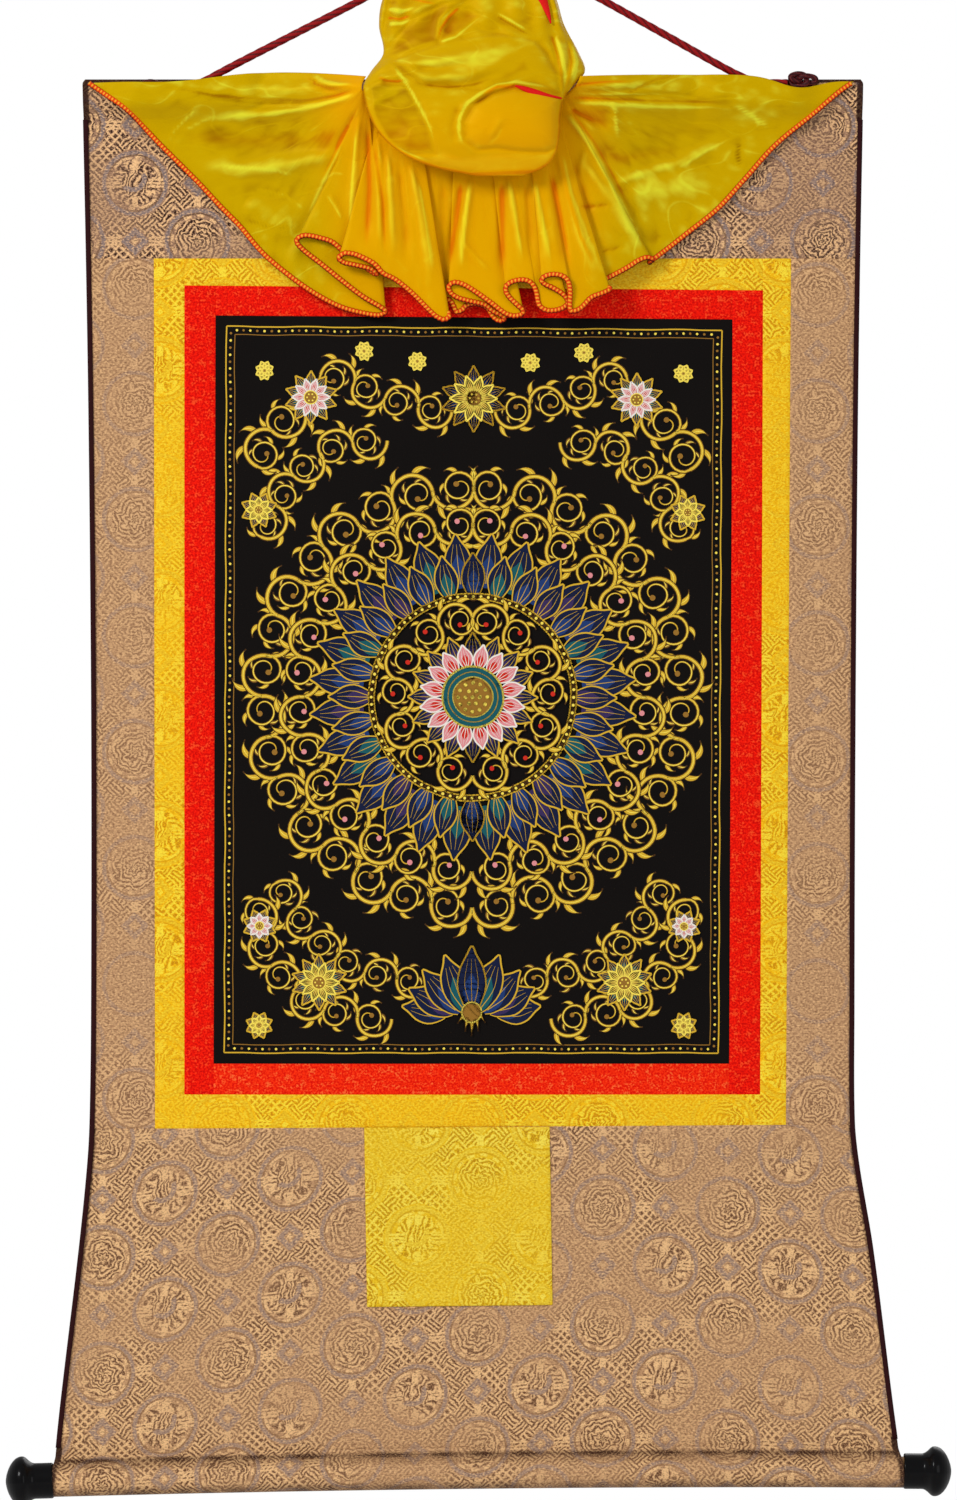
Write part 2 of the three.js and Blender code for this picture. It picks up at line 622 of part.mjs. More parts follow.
// The lining lies behind the ground and turns forward round both of its side edges.
function lining() {
  const turned = TURNED_EDGE.length;
  const columns = 2 * turned + LINING_COLUMNS + 1;
  const lower = (across) => dowelDrop(across) - SEAM_RISE - SEAM_TAIL - GAP;
  const middleAt = (u, v) => {
    const column = Math.round(u * columns);
    const nearSide = Math.min(column, columns - column);
    const level = mix(leftEdge(LINING_LEVEL), rightEdge(LINING_LEVEL), u);
    const drop = mix(TOP_HEM + GAP, lower(level), v);
    const left = leftEdge(drop);
    const right = rightEdge(drop);
    const t = (column - turned + 1) / (columns + 2 - 2 * turned);
    let across = mix(left + CLOTH / 2, right - CLOTH / 2, t);
    let layer = -1;
    if (nearSide < turned) {
      const edge = TURNED_EDGE[nearSide];
      across = column < columns - column ? left + edge.inward : right - edge.inward;
      layer = edge.layer;
    }
    return { across, drop, forward: layer * LAYER + hang(across, drop) };
  };
  const geometry = clothSheet({ rows: LINING_ROWS, columns, thickness: CLOTH, middleAt });
  return meshOf("lining", geometry, COLOURS.lining);
}

// Wood

function topBatten() {
  const { length, height, thickness, round } = BATTEN;
  const shape = new THREE.Shape();
  const x = thickness / 2;
  const y = height / 2;
  shape.moveTo(-x + round, -y);
  shape.lineTo(x - round, -y);
  shape.absarc(x - round, -y + round, round, -Math.PI / 2, 0);
  shape.lineTo(x, y - round);
  shape.absarc(x - round, y - round, round, 0, Math.PI / 2);
  shape.lineTo(-x + round, y);
  shape.absarc(-x + round, y - round, round, Math.PI / 2, Math.PI);
  shape.lineTo(-x, -y + round);
  shape.absarc(-x + round, -y + round, round, Math.PI, 1.5 * Math.PI);
  const geometry = new THREE.ExtrudeGeometry(shape, {
    depth: length,
    bevelEnabled: false,
    curveSegments: 3,
  });
  geometry.translate(0, 0, -length / 2);
  // The section's x becomes forward, its y becomes up and its depth runs across.
  geometry.applyMatrix4(
    new THREE.Matrix4().makeBasis(
      new THREE.Vector3(0, -1, 0),
      new THREE.Vector3(0, 0, 1),
      new THREE.Vector3(-1, 0, 0),
    ),
  );
  const mesh = meshOf("top_batten", geometry, COLOURS.wood);
  const middle = (leftEdge(0) + rightEdge(0)) / 2;
  const drop = CLOTH + GAP + height / 2;
  mesh.position.copy(place({ across: middle, drop, forward: BATTEN_FRONT - thickness / 2 }));
  return mesh;
}

function circle(radius, sides) {
  const points = [];
  for (let k = 0; k < sides; k += 1) {
    const angle = (2 * Math.PI * k) / sides;
    points.push(new THREE.Vector2(radius * Math.cos(angle), radius * Math.sin(angle)));
  }
  return new THREE.Shape(points);
}

function dowel() {
  const at = (across) => place({ across, drop: dowelDrop(across), forward: 0 });
  const stations = [];
  for (let k = 0; k <= 6; k += 1) stations.push(at(mix(DOWEL.left, DOWEL.right, k / 6)));
  const geometry = new THREE.ExtrudeGeometry(circle(DOWEL.radius, 24), {
    steps: 12,
    bevelEnabled: false,
    extrudePath: new THREE.CatmullRomCurve3(stations),
  });
  return meshOf("dowel", positionsOnly(geometry), COLOURS.wood);
}

// A turned knob: a bored neck, then a flange with rounded shoulders and a domed end.
function knob(name, side) {
  const { neck, round, shoulder, bore, boreDepth, sides } = KNOB;
  const profile = [
    [0, boreDepth],
    [bore, boreDepth],
    [bore, 0],
    [neck - round, 0],
    [neck, round],
    [neck, shoulder],
    ...KNOB_END,
  ];
  const outline = profile.map(([radius, out]) => new THREE.Vector2(radius, out));
  const geometry = new THREE.LatheGeometry(outline, sides);
  const clean = geometryFrom(solidOf(geometry));
  const mesh = meshOf(name, clean, COLOURS.lacquer);
  const edge = side < 0 ? leftEdge(EDGES.at(-1).drop) : rightEdge(EDGES.at(-1).drop);
  const across = edge - side * LAYER + side * 2 * GAP;
  const ahead = across + side * 10;
  const from = place({ across, drop: dowelDrop(across), forward: 0 });
  const to = place({ across: ahead, drop: dowelDrop(ahead), forward: 0 });
  mesh.position.copy(from);
  mesh.quaternion.setFromUnitVectors(new THREE.Vector3(0, 1, 0), to.sub(from).normalize());
  return mesh;
}

// Cord, knots and ribbon

function hangingCord() {
  const geometry = new THREE.ExtrudeGeometry(circle(CORD.diameter / 2, CORD.sides), {
    steps: CORD.steps,
    bevelEnabled: false,
    extrudePath: new THREE.CatmullRomCurve3(CORD_ROUTE.map(place)),
  });
  return meshOf("hanging_cord", positionsOnly(geometry), COLOURS.cord);
}

// An overhand knot, which is a trefoil drawn tight.
function cordKnot(name, where) {
  const outer = 1 + KNOT.tube;
  const { width, height, depth, tube, tight, steps, sides } = KNOT;
  const loop = new THREE.TorusKnotGeometry(2 / 3, tube * tight, steps, sides, 2, 3);
  loop.scale(width / 2 / outer, height / 2 / outer, depth / 2 / (tube * 2));
  loop.rotateX(Math.PI / 2);
  const mesh = meshOf(name, positionsOnly(loop), COLOURS.knot);
  mesh.position.copy(place(where));
  return mesh;
}

function ribbonRing(inflate, drop) {
  const points = [];
  const { sides, power } = RIBBON_RING;
  const middle = (RIBBON.left + RIBBON.right) / 2;
  const depth = (RIBBON.front + RIBBON.back) / 2;
  for (let k = 0; k < sides; k += 1) {
    const angle = (2 * Math.PI * k) / sides;
    const c = Math.sign(Math.cos(angle)) * Math.abs(Math.cos(angle)) ** power;
    const s = Math.sign(Math.sin(angle)) * Math.abs(Math.sin(angle)) ** power;
    const across = middle + c * ((RIBBON.right - RIBBON.left) / 2 + inflate);
    const forward = depth + s * ((RIBBON.front - RIBBON.back) / 2 + inflate);
    points.push(place({ across, drop, forward }));
  }
  return points;
}

function veilRibbon() {
  const half = RIBBON.width / 2;
  const band = solidOf(
    loft([
      ribbonRing(RIBBON.thickness, RIBBON.drop - half),
      ribbonRing(RIBBON.thickness, RIBBON.drop + half),
    ]),
  ).subtract(
    solidOf(loft([ribbonRing(0, RIBBON.drop - half - 1), ribbonRing(0, RIBBON.drop + half + 1)])),
  );
  const end = clothSheet({
    rows: RIBBON_TAPER.rows,
    columns: RIBBON_TAPER.columns,
    thickness: RIBBON.thickness,
    straight: true,
    middleAt: (u, v) => {
      const width = RIBBON_END.width * (1 - smoothStep(RIBBON_TAPER.from, RIBBON_TAPER.to, v));
      const drop = mix(RIBBON_END.top, RIBBON_END.tip, v);
      const across = mix(RIBBON_END.fromAcross, RIBBON_END.toAcross, v) + (u - 0.5) * width;
      const under = bagSurface(across - RIBBON_END.lift, drop, 1);
      return { across, drop, forward: under + RIBBON.thickness / 2 + 3 * GAP };
    },
  });
  return meshOf("veil_ribbon", geometryFrom(band.add(solidOf(end))), COLOURS.ribbon);
}

// The cover cloth

// The least that the cover cloth stands forward of the ground cloth's middle.
function clearOf(across, drop) {
  const sleeve = SLEEVE_FRONT + CLOTH / 2 + GAP + COVER_THICKNESS / 2;
  const low = CLOTH / 2 + COVER_CLEAR.low + COVER_THICKNESS / 2;
  const bulges = BULGES.map(({ from, to, fade, height }) => {
    const rise = smoothStep(from - fade, from, across) * (1 - smoothStep(to, to + fade, across));
    return height * rise * (1 - smoothStep(BULGE_DROP.from, BULGE_DROP.to, drop));
  });
  const away = smoothStep(COVER_CLEAR.from, COVER_CLEAR.to, drop);
  const flat = mix(sleeve + COVER_CLEAR.high, low, away);
  return flat + Math.max(0, hang(across, drop)) + Math.max(...bulges);
}

function fanSheet() {
  const middleAt = (u, v) => {
    const position = u * (FAN.length - 1);
    const read = (column) => readRows(FAN, column, position);
    const fromDrop = read("fromDrop");
    const waistLeft = readTable(BAG, "drop", "left", fromDrop) + BAG_WALL;
    const waistRight = readTable(BAG, "drop", "right", fromDrop) - BAG_WALL;
    const fromAcross = THREE.MathUtils.clamp(read("fromAcross"), waistLeft, waistRight);
    const start = bagSurface(fromAcross, fromDrop, -1) + BAG_WALL / 2;
    const across = mix(fromAcross, read("toAcross"), v);
    const sag = 4 * v * (1 - v) * read("sag");
    const edge = Math.min(u, 1 - u);
    const dip = KNOT_DIP.depth * hump(across, KNOT_DIP.across, KNOT_DIP.spread);
    const rim = hump(edge, 0, KNOT_DIP.rim);
    const drop = mix(fromDrop, read("toDrop"), v) + sag + dip * rim;
    const early = mix(start, read("mid"), Math.min(1, 2 * v));
    const late = mix(read("mid"), read("hem"), Math.max(0, 2 * v - 1));
    const fold = v < 0.5 ? early : late;
    return { across, drop, forward: Math.max(fold, clearOf(across, drop)) };
  };
  return clothSheet({
    rows: FAN_ROWS,
    columns: FAN_COLUMNS,
    thickness: COVER_THICKNESS,
    middleAt,
    straight: true,
  });
}

// How far forward the front of the bunch stands with a side of 1, or its back with -1.
function bagSurface(across, drop, side) {
  const read = (column) => readTable(BAG, "drop", column, drop);
  const out = (2 * across - read("left") - read("right")) / (read("right") - read("left"));
  const reach = Math.sqrt(Math.max(0, 1 - out * out));
  return (read("front") + read("back")) / 2 + (side * reach * (read("front") - read("back"))) / 2;
}

// One ring of the bunch or pouch. A wall above zero draws the ring in, for the hollow inside.
function bagRing(drop, wall) {
  const read = (column) => readTable(BAG, "drop", column, drop);
  const open = wall > 0 && drop > BAG_OPEN_BELOW;
  const left = read("left") + wall;
  const right = read("right") - wall;
  const front = read("front") - wall;
  const back = open ? read("back") - BAG_OPEN_BACK : read("back") + wall;
  const pleat = PLEATS.height * (1 - smoothStep(PLEATS.from, PLEATS.to, drop));
  const points = [];
  for (let k = 0; k < BAG_SIDES; k += 1) {
    const angle = (2 * Math.PI * k) / BAG_SIDES;
    const facing = Math.max(0, Math.sin(angle));
    const ripple = 1 - pleat * facing * (1 - Math.cos(PLEATS.count * angle));
    const across = (left + right) / 2 + (Math.cos(angle) * (right - left)) / 2;
    const forward = (front + back) / 2 + (Math.sin(angle) * ripple * (front - back)) / 2;
    points.push(place({ across, drop, forward }));
  }
  return points;
}

function bag() {
  const first = BAG[0].drop;
  const last = BAG.at(-1).drop;
  const rings = (from, to, wall) => {
    const drops = [];
    for (let i = 0; i <= BAG_ROWS; i += 1) drops.push(mix(from, to, i / BAG_ROWS));
    drops.push(BAG_OPEN_BELOW, BAG_OPEN_BELOW + 1);
    return drops.sort((a, b) => a - b).map((drop) => bagRing(drop, wall));
  };
  const outer = solidOf(loft(rings(first, last, 0)));
  const hollow = solidOf(loft(rings(first + 2 * BAG_WALL, last - 2 * BAG_WALL, BAG_WALL)));
  return outer.subtract(hollow);
}

function veil() {
  const whole = solidOf(fanSheet()).add(bag());
  return meshOf("veil", geometryFrom(whole), COLOURS.satin);
}

// The scroll

const [picture, inner, outer] = FRAMES;
const scroll = new THREE.Group();
scroll.add(
  panel("painting", picture, COLOURS.picture, { rows: PANEL_ROWS, columns: BORDER_COLUMNS }),
  ...border("red_border", picture, inner, COLOURS.red),
  ...border("gold_border", inner, outer, COLOURS.gold),
  brocadeTop(),
  brocadeSide("left"),
  brocadeSide("right"),
  brocadeBottom(),
  panel("gold_patch", PATCH, COLOURS.gold, { layer: 1, rows: 3, columns: 3 }),
  lining(),
  topBatten(),
  dowel(),
  knob("knob_left", -1),
  knob("knob_right", 1),
  hangingCord(),
  cordKnot("cord_knot_left", KNOT_LEFT),
  cordKnot("cord_knot_right", KNOT_RIGHT),
  veil(),
  veilRibbon(),
);
scroll.position.z = -NAIL_RISE;

const group = new THREE.Group();
group.add(scroll);

export default group;
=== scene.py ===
"""A hanging picture scroll, dressed for rendering around its solids.

Places on the scroll are in millimetres: across (to the right), drop (down from the top edge)
and forward (towards the viewer, from the middle of the ground cloth). place() turns them into
metres in the frame, where the front faces -Y and the nail that carries the cord is the origin.
"""

import math

import bpy
import numpy as np
from bpy.props import FloatProperty, FloatVectorProperty, PointerProperty
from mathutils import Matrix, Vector
from mathutils.geometry import tessellate_polygon


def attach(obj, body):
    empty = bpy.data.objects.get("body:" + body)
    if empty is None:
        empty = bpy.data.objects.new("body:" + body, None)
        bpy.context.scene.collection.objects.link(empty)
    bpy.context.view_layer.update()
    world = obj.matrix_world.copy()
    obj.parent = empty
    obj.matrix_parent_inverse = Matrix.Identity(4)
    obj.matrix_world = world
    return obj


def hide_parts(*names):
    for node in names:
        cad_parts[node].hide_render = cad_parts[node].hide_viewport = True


bl_info = {
    "name": "Hanging scroll",
    "version": (1, 0, 0),
    "blender": (4, 5, 0),
    "location": "View3D > Sidebar > Scroll",
    "description": "Builds a hanging picture scroll with a gathered cover cloth",
    "category": "Object",
}

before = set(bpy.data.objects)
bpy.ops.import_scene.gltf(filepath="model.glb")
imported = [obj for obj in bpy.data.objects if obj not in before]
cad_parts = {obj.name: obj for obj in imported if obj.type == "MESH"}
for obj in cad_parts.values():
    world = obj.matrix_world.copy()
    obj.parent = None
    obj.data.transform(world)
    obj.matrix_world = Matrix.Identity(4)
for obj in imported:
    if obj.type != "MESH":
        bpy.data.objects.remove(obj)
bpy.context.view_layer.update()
BODY = "root"
MM = 0.001

# Driving sizes, in millimetres

NAIL_RISE = 86  # how high the nail is above the scroll's top edge
GAP = 0.3  # between one solid and the next
LAYER = 1.3  # from the middle of one cloth to the middle of the next
SOLID_CLOTH = 1.0  # how thick the solids' cloths are

# How far across the left and right edges are at each of these drops.
EDGE_DROPS = (0, 100, 210, 390, 560, 628, 655, 705, 796, 832, 856)
LEFT_EDGE = (
    -235.2, -233.1, -231.4, -229.8, -229.9, -230.8, -232.3, -237.3, -248.1, -251.8, -253.4,
)
RIGHT_EDGE = (235.6, 233.7, 232.2, 230.8, 230.2, 230.4, 233.2, 241.5, 253.0, 257.8, 260.6)

# The corners of each sewn rectangle, as (across, drop).
PICTURE = {
    "top_left": (-154.9, 142.3),
    "top_right": (156.8, 144.7),
    "bottom_left": (-156.1, 593.4),
    "bottom_right": (154.7, 593.4),
}
RED_FRAME = {
    "top_left": (-173.7, 124.2),
    "top_right": (175.2, 127.2),
    "bottom_left": (-173.7, 612.0),
    "bottom_right": (173.4, 612.0),
}
GOLD_FRAME = {
    "top_left": (-192.2, 107.9),
    "top_right": (192.1, 107.9),
    "bottom_left": (-191.5, 632.6),
    "bottom_right": (189.0, 630.4),
}
PATCH = {
    "top_left": (-65.1, 632.0),
    "top_right": (46.3, 631.6),
    "bottom_left": (-63.4, 739.9),
    "bottom_right": (48.1, 738.7),
}

TOP_HEM = 24  # how far the upper panel comes down behind the batten
BATTEN_HEIGHT = 12
BATTEN_FRONT = -LAYER + SOLID_CLOTH / 2 + GAP + 5
SLEEVE_FRONT = BATTEN_FRONT + GAP + SOLID_CLOTH / 2

DOWEL_MIDDLE, DOWEL_RIGHT = 3.5, 269.5
DOWEL_CENTRE = 842.1
DOWEL_TILT = -6 / 540
DOWEL_BOW = 2.4
SLEEVE_RADIUS = 9.7
SEAM_RISE = 14  # how high the sleeve's seam is above the dowel's middle
SEAM_TAIL = 5  # how far the cloth goes on above that seam behind

# Small mathematics


def mix(a, b, t):
    """Part of the way from a to b."""
    return a + (b - a) * t


def smooth_step(low, high, value):
    """From 0 at low to 1 at high, easing in and out."""
    t = np.clip((np.asarray(value, float) - low) / (high - low), 0, 1)
    return t * t * (3 - 2 * t)


def hump(value, centre, spread):
    """A rounded bump of height 1."""
    return np.exp(-(((value - centre) / spread) ** 2))


def full_turn(count):
    """Angles at even steps all the way round."""
    return np.linspace(0, 2 * math.pi, count, endpoint=False)


def heading(angle):
    """A step of length 1 towards each angle."""
    return np.stack([np.cos(angle), np.sin(angle)], axis=-1)


def distances(line):
    """How far along a line each of its points is, or along each line of a grid of points."""
    steps = np.linalg.norm(np.diff(line, axis=0), axis=-1)
    return np.concatenate([np.zeros_like(steps[:1]), np.cumsum(steps, axis=0)])


def even_places(line, count):
    """Places at even steps along a line, and how far along it each of them is."""
    run = distances(line)
    even = np.linspace(0, run[-1], count)
    return np.stack([np.interp(even, run, part) for part in line.T], axis=-1), even


def smooth_curve(xs, ys):
    """A function that runs smoothly through the points, as the solids' tables do."""
    xs, ys = np.array(xs, float), np.array(ys, float)
    last = len(xs) - 1
    ahead = np.minimum(np.arange(last + 1) + 1, last)
    behind = np.maximum(np.arange(last + 1) - 1, 0)
    slopes = (ys[ahead] - ys[behind]) / (xs[ahead] - xs[behind])

    def value(x):
        x = np.clip(x, xs[0], xs[-1])
        i = np.clip(np.searchsorted(xs, x, side="right") - 1, 0, last - 1)
        span = xs[i + 1] - xs[i]
        t = (x - xs[i]) / span
        rise = 3 * (ys[i + 1] - ys[i]) - span * (2 * slopes[i] + slopes[i + 1])
        turn = 2 * (ys[i] - ys[i + 1]) + span * (slopes[i] + slopes[i + 1])
        return ys[i] + t * (span * slopes[i] + t * (rise + t * turn))

    return value


left_edge = smooth_curve(EDGE_DROPS, LEFT_EDGE)
right_edge = smooth_curve(EDGE_DROPS, RIGHT_EDGE)


def place(across, drop, forward):
    """Millimetres on the scroll as metres in the frame."""
    across, drop, forward = np.broadcast_arrays(across, drop, forward)
    return np.stack([across, -forward, -drop - NAIL_RISE], axis=-1) * MM


def dowel_drop(across):
    """How low the dowel's middle hangs."""
    out = (across - DOWEL_MIDDLE) / (DOWEL_RIGHT - DOWEL_MIDDLE)
    return DOWEL_CENTRE + DOWEL_TILT * (across - DOWEL_MIDDLE) - DOWEL_BOW * (1 - out * out)


def hang(across, drop):
    """How far forward the ground cloth stands where it hangs free."""
    length = DOWEL_CENTRE - SEAM_RISE
    free = smooth_step(TOP_HEM, 260, drop) * (1 - smooth_step(length - 260, length, drop))
    side = across / RIGHT_EDGE[0]
    bow = 3.2 * (1 - side * side)
    curl = -2.6 * side**4
    cockle = 0.9 * np.sin(across / 60 + drop / 110) * np.sin(drop / 130)
    return free * (bow + curl + cockle)


def cockles(across, drop):
    """Shallow, uneven waves where the paper-stiffened ground has dried."""
    slow = 0.22 * np.sin(across / 37 + 1.3) * np.sin(drop / 61 + across / 210)
    fine = 0.1 * np.sin(across / 16.3 + drop / 43) * np.sin(drop / 24 + 0.7)
    return slow + fine


# Meshes


def finish_piece(piece, material, nodes=()):
    """Gives a piece its material and body, and hides the solids that it stands for."""
    piece.data.materials.append(material)
    piece.data.shade_smooth()
    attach(piece, BODY)
    if nodes:
        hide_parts(*nodes)
    return piece


def mesh_object(name, points, faces):
    """An object from points in metres and faces."""
    mesh = bpy.data.meshes.new(name)
    mesh.from_pydata(np.asarray(points, float).reshape(-1, 3).tolist(), [], faces)
    mesh.validate()
    piece = bpy.data.objects.new(name, mesh)
    bpy.context.scene.collection.objects.link(piece)
    return piece


def grid_faces(rows, columns, round_rows=False, round_columns=False):
    """Quads between neighbouring rows. round_rows joins each row's ends, and round_columns joins
    the last row to the first."""
    faces = []
    for i in range(rows if round_columns else rows - 1):
        for j in range(columns if round_rows else columns - 1):
            a, b = i * columns + j, i * columns + (j + 1) % columns
            below = ((i + 1) % rows - i) * columns
            faces.append((a, a + below, b + below, b))
    return faces


def capped_faces(rows, columns):
    """The faces of round rows whose ends are closed by two points that come after them."""
    faces = grid_faces(rows, columns, round_rows=True)
    count = rows * columns
    for j in range(columns):
        after = (j + 1) % columns
        faces.append((count, j, after))
        faces.append((count + 1, count - columns + after, count - columns + j))
    return faces


def add_uv(piece, name, uv):
    """A map in which one unit is one metre of cloth."""
    layer = piece.data.uv_layers.new(name=name)
    index = np.zeros(len(piece.data.loops), np.int32)
    piece.data.loops.foreach_get("vertex_index", index)
    layer.data.foreach_set("uv", np.asarray(uv, np.float32).reshape(-1, 2)[index].ravel())


def add_values(piece, name, values):
    """One number for each point, which a material can read by name."""
    made = piece.data.attributes.new(name, "FLOAT", "POINT")
    made.data.foreach_set("value", np.asarray(values, np.float32).ravel())


def cloth(name, across, drop, forward, weave, thickness=None):
    """A sheet of cloth over a grid of places, with a map of its weave. Without a thickness, it
    takes the one that the settings give to sewn cloths."""
    rows, columns = across.shape
    piece = mesh_object(name, place(across, drop, forward), grid_faces(rows, columns))
    add_uv(piece, "weave", np.stack(weave, axis=-1) * MM)
    solid = piece.modifiers.new("Thickness", "SOLIDIFY")
    solid.thickness = thickness * MM if thickness else bpy.context.scene.sewn.thickness
    solid.offset = 0
    return piece


SEAM_PLACES = (0.0, 0.35, 0.8, 1.5, 2.6, 4.2)  # rows of points beside a seam, by distance


def spread(length, step, edge=SEAM_PLACES):
    """Places from 0 to 1 along a length, close together near both ends, where seams are."""
    count = max(2, round((length - 2 * edge[-1]) / step))
    middle = np.linspace(edge[-1], length - edge[-1], count + 1)
    near = np.array(edge[:-1])
    return np.concatenate([near, middle, length - near[::-1]]) / length


# Shaders


class Wire:
    """A number in a shader. Sums and products of it add their own Math nodes."""

    def __init__(self, shader, socket):
        self.shader = shader
        self.socket = socket

    def math(self, operation, *values):
        return self.shader.number(operation, self, *values)

    def __add__(self, other):
        return self.math("ADD", other)

    def __sub__(self, other):
        return self.math("SUBTRACT", other)

    def __rsub__(self, other):
        return self.shader.number("SUBTRACT", other, self)

    def __mul__(self, other):
        return self.math("MULTIPLY", other)

    def __truediv__(self, other):
        return self.math("DIVIDE", other)

    __radd__ = __add__
    __rmul__ = __mul__


class Shader:
    """One material: a Principled surface, and the nodes that feed it."""

    def __init__(self, name, **settings):
        self.material = bpy.data.materials.new(name)
        self.material.use_nodes = True
        self.tree = self.material.node_tree
        self.tree.nodes.clear()
        inputs = {
            key.replace("_", " ").title().replace("Ior", "IOR"): value
            for key, value in settings.items()
        }
        self.surface = self.node("ShaderNodeBsdfPrincipled", inputs=inputs)
        output = self.node("ShaderNodeOutputMaterial")
        self.tree.links.new(self.surface.outputs[0], output.inputs["Surface"])

    def node(self, kind, settings=None, inputs=None):
        """Any node: its settings come first, then the values or links of its sockets."""
        made = self.tree.nodes.new(kind)
        for key, value in (settings or {}).items():
            setattr(made, key, value)
        for key, value in (inputs or {}).items():
            self.feed(made.inputs[key], value)
        return made

    def feed(self, socket, value):
        if isinstance(value, Wire):
            value = value.socket
        if isinstance(value, bpy.types.NodeSocket):
            self.tree.links.new(value, socket)
        else:
            socket.default_value = value

    def number(self, operation, *values):
        made = self.node("ShaderNodeMath", {"operation": operation}, dict(enumerate(values)))
        return Wire(self, made.outputs[0])

    def step(self, value, low, high):
        """From 0 at low to 1 at high, easing in and out."""
        made = self.node(
            "ShaderNodeMapRange",
            {"interpolation_type": "SMOOTHSTEP"},
            {"Value": value, "From Min": low, "From Max": high},
        )
        return Wire(self, made.outputs["Result"])

    def stretched(self, where, stretch):
        made = self.node(
            "ShaderNodeVectorMath", {"operation": "MULTIPLY"}, {0: where, 1: stretch}
        )
        return made.outputs[0]

    def noise(self, where, scale, detail, stretch=(1, 1, 1)):
        """Soft noise from 0 to 1. The scale is in grains to the metre."""
        made = self.node(
            "ShaderNodeTexNoise",
            {"noise_dimensions": "3D"},
            {"Vector": self.stretched(where, stretch), "Scale": scale, "Detail": detail},
        )
        return Wire(self, made.outputs["Fac"])

    def facets(self, where, scale, stretch):
        """From 0 in the middle of each facet to its crisp edges, with that many to the metre."""
        made = self.node(
            "ShaderNodeTexVoronoi",
            {"voronoi_dimensions": "2D"},
            {"Vector": self.stretched(where, stretch), "Scale": scale},
        )
        return Wire(self, made.outputs["Distance"])

    def blend(self, factor, first, second):
        """A colour part of the way from the first to the second."""
        made = self.node(
            "ShaderNodeMix", {"data_type": "RGBA"}, {0: factor, 6: first, 7: second}
        )
        return made.outputs[2]

    def weave(self):
        """Millimetres across and along the cloth, and the map itself."""
        where = self.node("ShaderNodeUVMap", {"uv_map": "weave"}).outputs["UV"]
        parts = self.node("ShaderNodeSeparateXYZ", inputs={0: where})
        return [Wire(self, parts.outputs[k]) / MM for k in range(2)] + [where]

    def value(self, name):
        """A number that the mesh holds for each of its points."""
        made = self.node("ShaderNodeAttribute", {"attribute_name": name})
        return Wire(self, made.outputs["Fac"])

    def solid(self):
        """Places in the frame, in metres."""
        return self.node("ShaderNodeTexCoord").outputs["Object"]

    def bump(self, height, distance, strength=1.0):
        """Relief of that many metres from heights of 0 to 1."""
        made = self.node(
            "ShaderNodeBump", inputs={"Strength": strength, "Distance": distance, "Height": height}
        )
        self.feed(self.surface.inputs["Normal"], made.outputs["Normal"])

    def colour(self, value):
        self.feed(self.surface.inputs["Base Color"], value)
        return self.material


def linear(red, green, blue):
    """A colour as it is seen, 0 to 255, as the light values that a shader takes."""
    seen = np.array([red, green, blue]) / 255
    light = np.where(seen <= 0.04045, seen / 12.92, ((seen + 0.055) / 1.055) ** 2.4)
    return (*light.tolist(), 1.0)


# Painted shade in the lower panel's seam and on its roll, and the dark of the cloth's turned
# binding at its rims.
SHADE_AND_BINDING_COLOUR = linear(44, 15, 10)

# The brocade's repeat, in millimetres

HALF_WIDE = 37.7  # from a roundel across to the next diamond
HALF_HIGH = 35.0  # from a roundel down to the next diamond
ROUNDEL = 18.6  # how far a roundel's ring is from its middle
DIAMOND = 7.2  # how far a diamond reaches each way
HATCH = 2.4  # from one slanting stripe to the next
LATTICE = 3.6  # from one bar of the lattice to the next
RING = 2.9  # from one ragged ring to the next
LINE_FADE = 0.35  # how softly a woven line ends
HATCHES = 7  # stripes in each block
WAVE, FRAY, CLOUD = 150, 620, 13  # grains to the metre of what bends, frays and dims the threads
PATCHES = 48  # patches of lattice to the metre


def to_nearest(value, period, shift):
    """How far a place is from the nearest line of a row that repeats."""
    moved = value - shift
    return moved - (moved / period).math("ROUND") * period


def length_of(x, y):
    """The distance from the middle to a place."""
    return (x * x + y * y).math("SQRT")


def band(shader, value, centre, width):
    """1 where the value is within half the width of the centre."""
    off = (value - centre).math("ABSOLUTE")
    return 1 - shader.step(off, width / 2, width / 2 + LINE_FADE)


def brocade_hatch(shader, x, y, where, wave, roll):
    """Blocks of slanting stripes, each across the one beside it, with patches of lattice."""
    pitch = 2 * math.pi / HATCH / math.sqrt(2)
    slant = ((x + y) * pitch + wave * 9).math("SINE")
    slope = ((x - y) * pitch + roll * 9).math("SINE")
    side = pitch / HATCHES
    block = ((x + y) * side).math("SINE") * ((x - y) * side).math("SINE")
    hatch = shader.step(block + wave * 0.8, -0.06, 0.06) * (slant - slope) + slope
    wide = 2 * math.pi / LATTICE / math.sqrt(2)
    crossed = ((x + y) * wide + wave * 5).math("SINE").math(
        "MAXIMUM", ((x - y) * wide + roll * 5).math("SINE")
    )
    crossed = crossed * 1.3 - 0.5
    lattice = shader.step(shader.noise(where, PATCHES, detail=1.0), 0.53, 0.57)
    return lattice * (crossed - hatch) + hatch


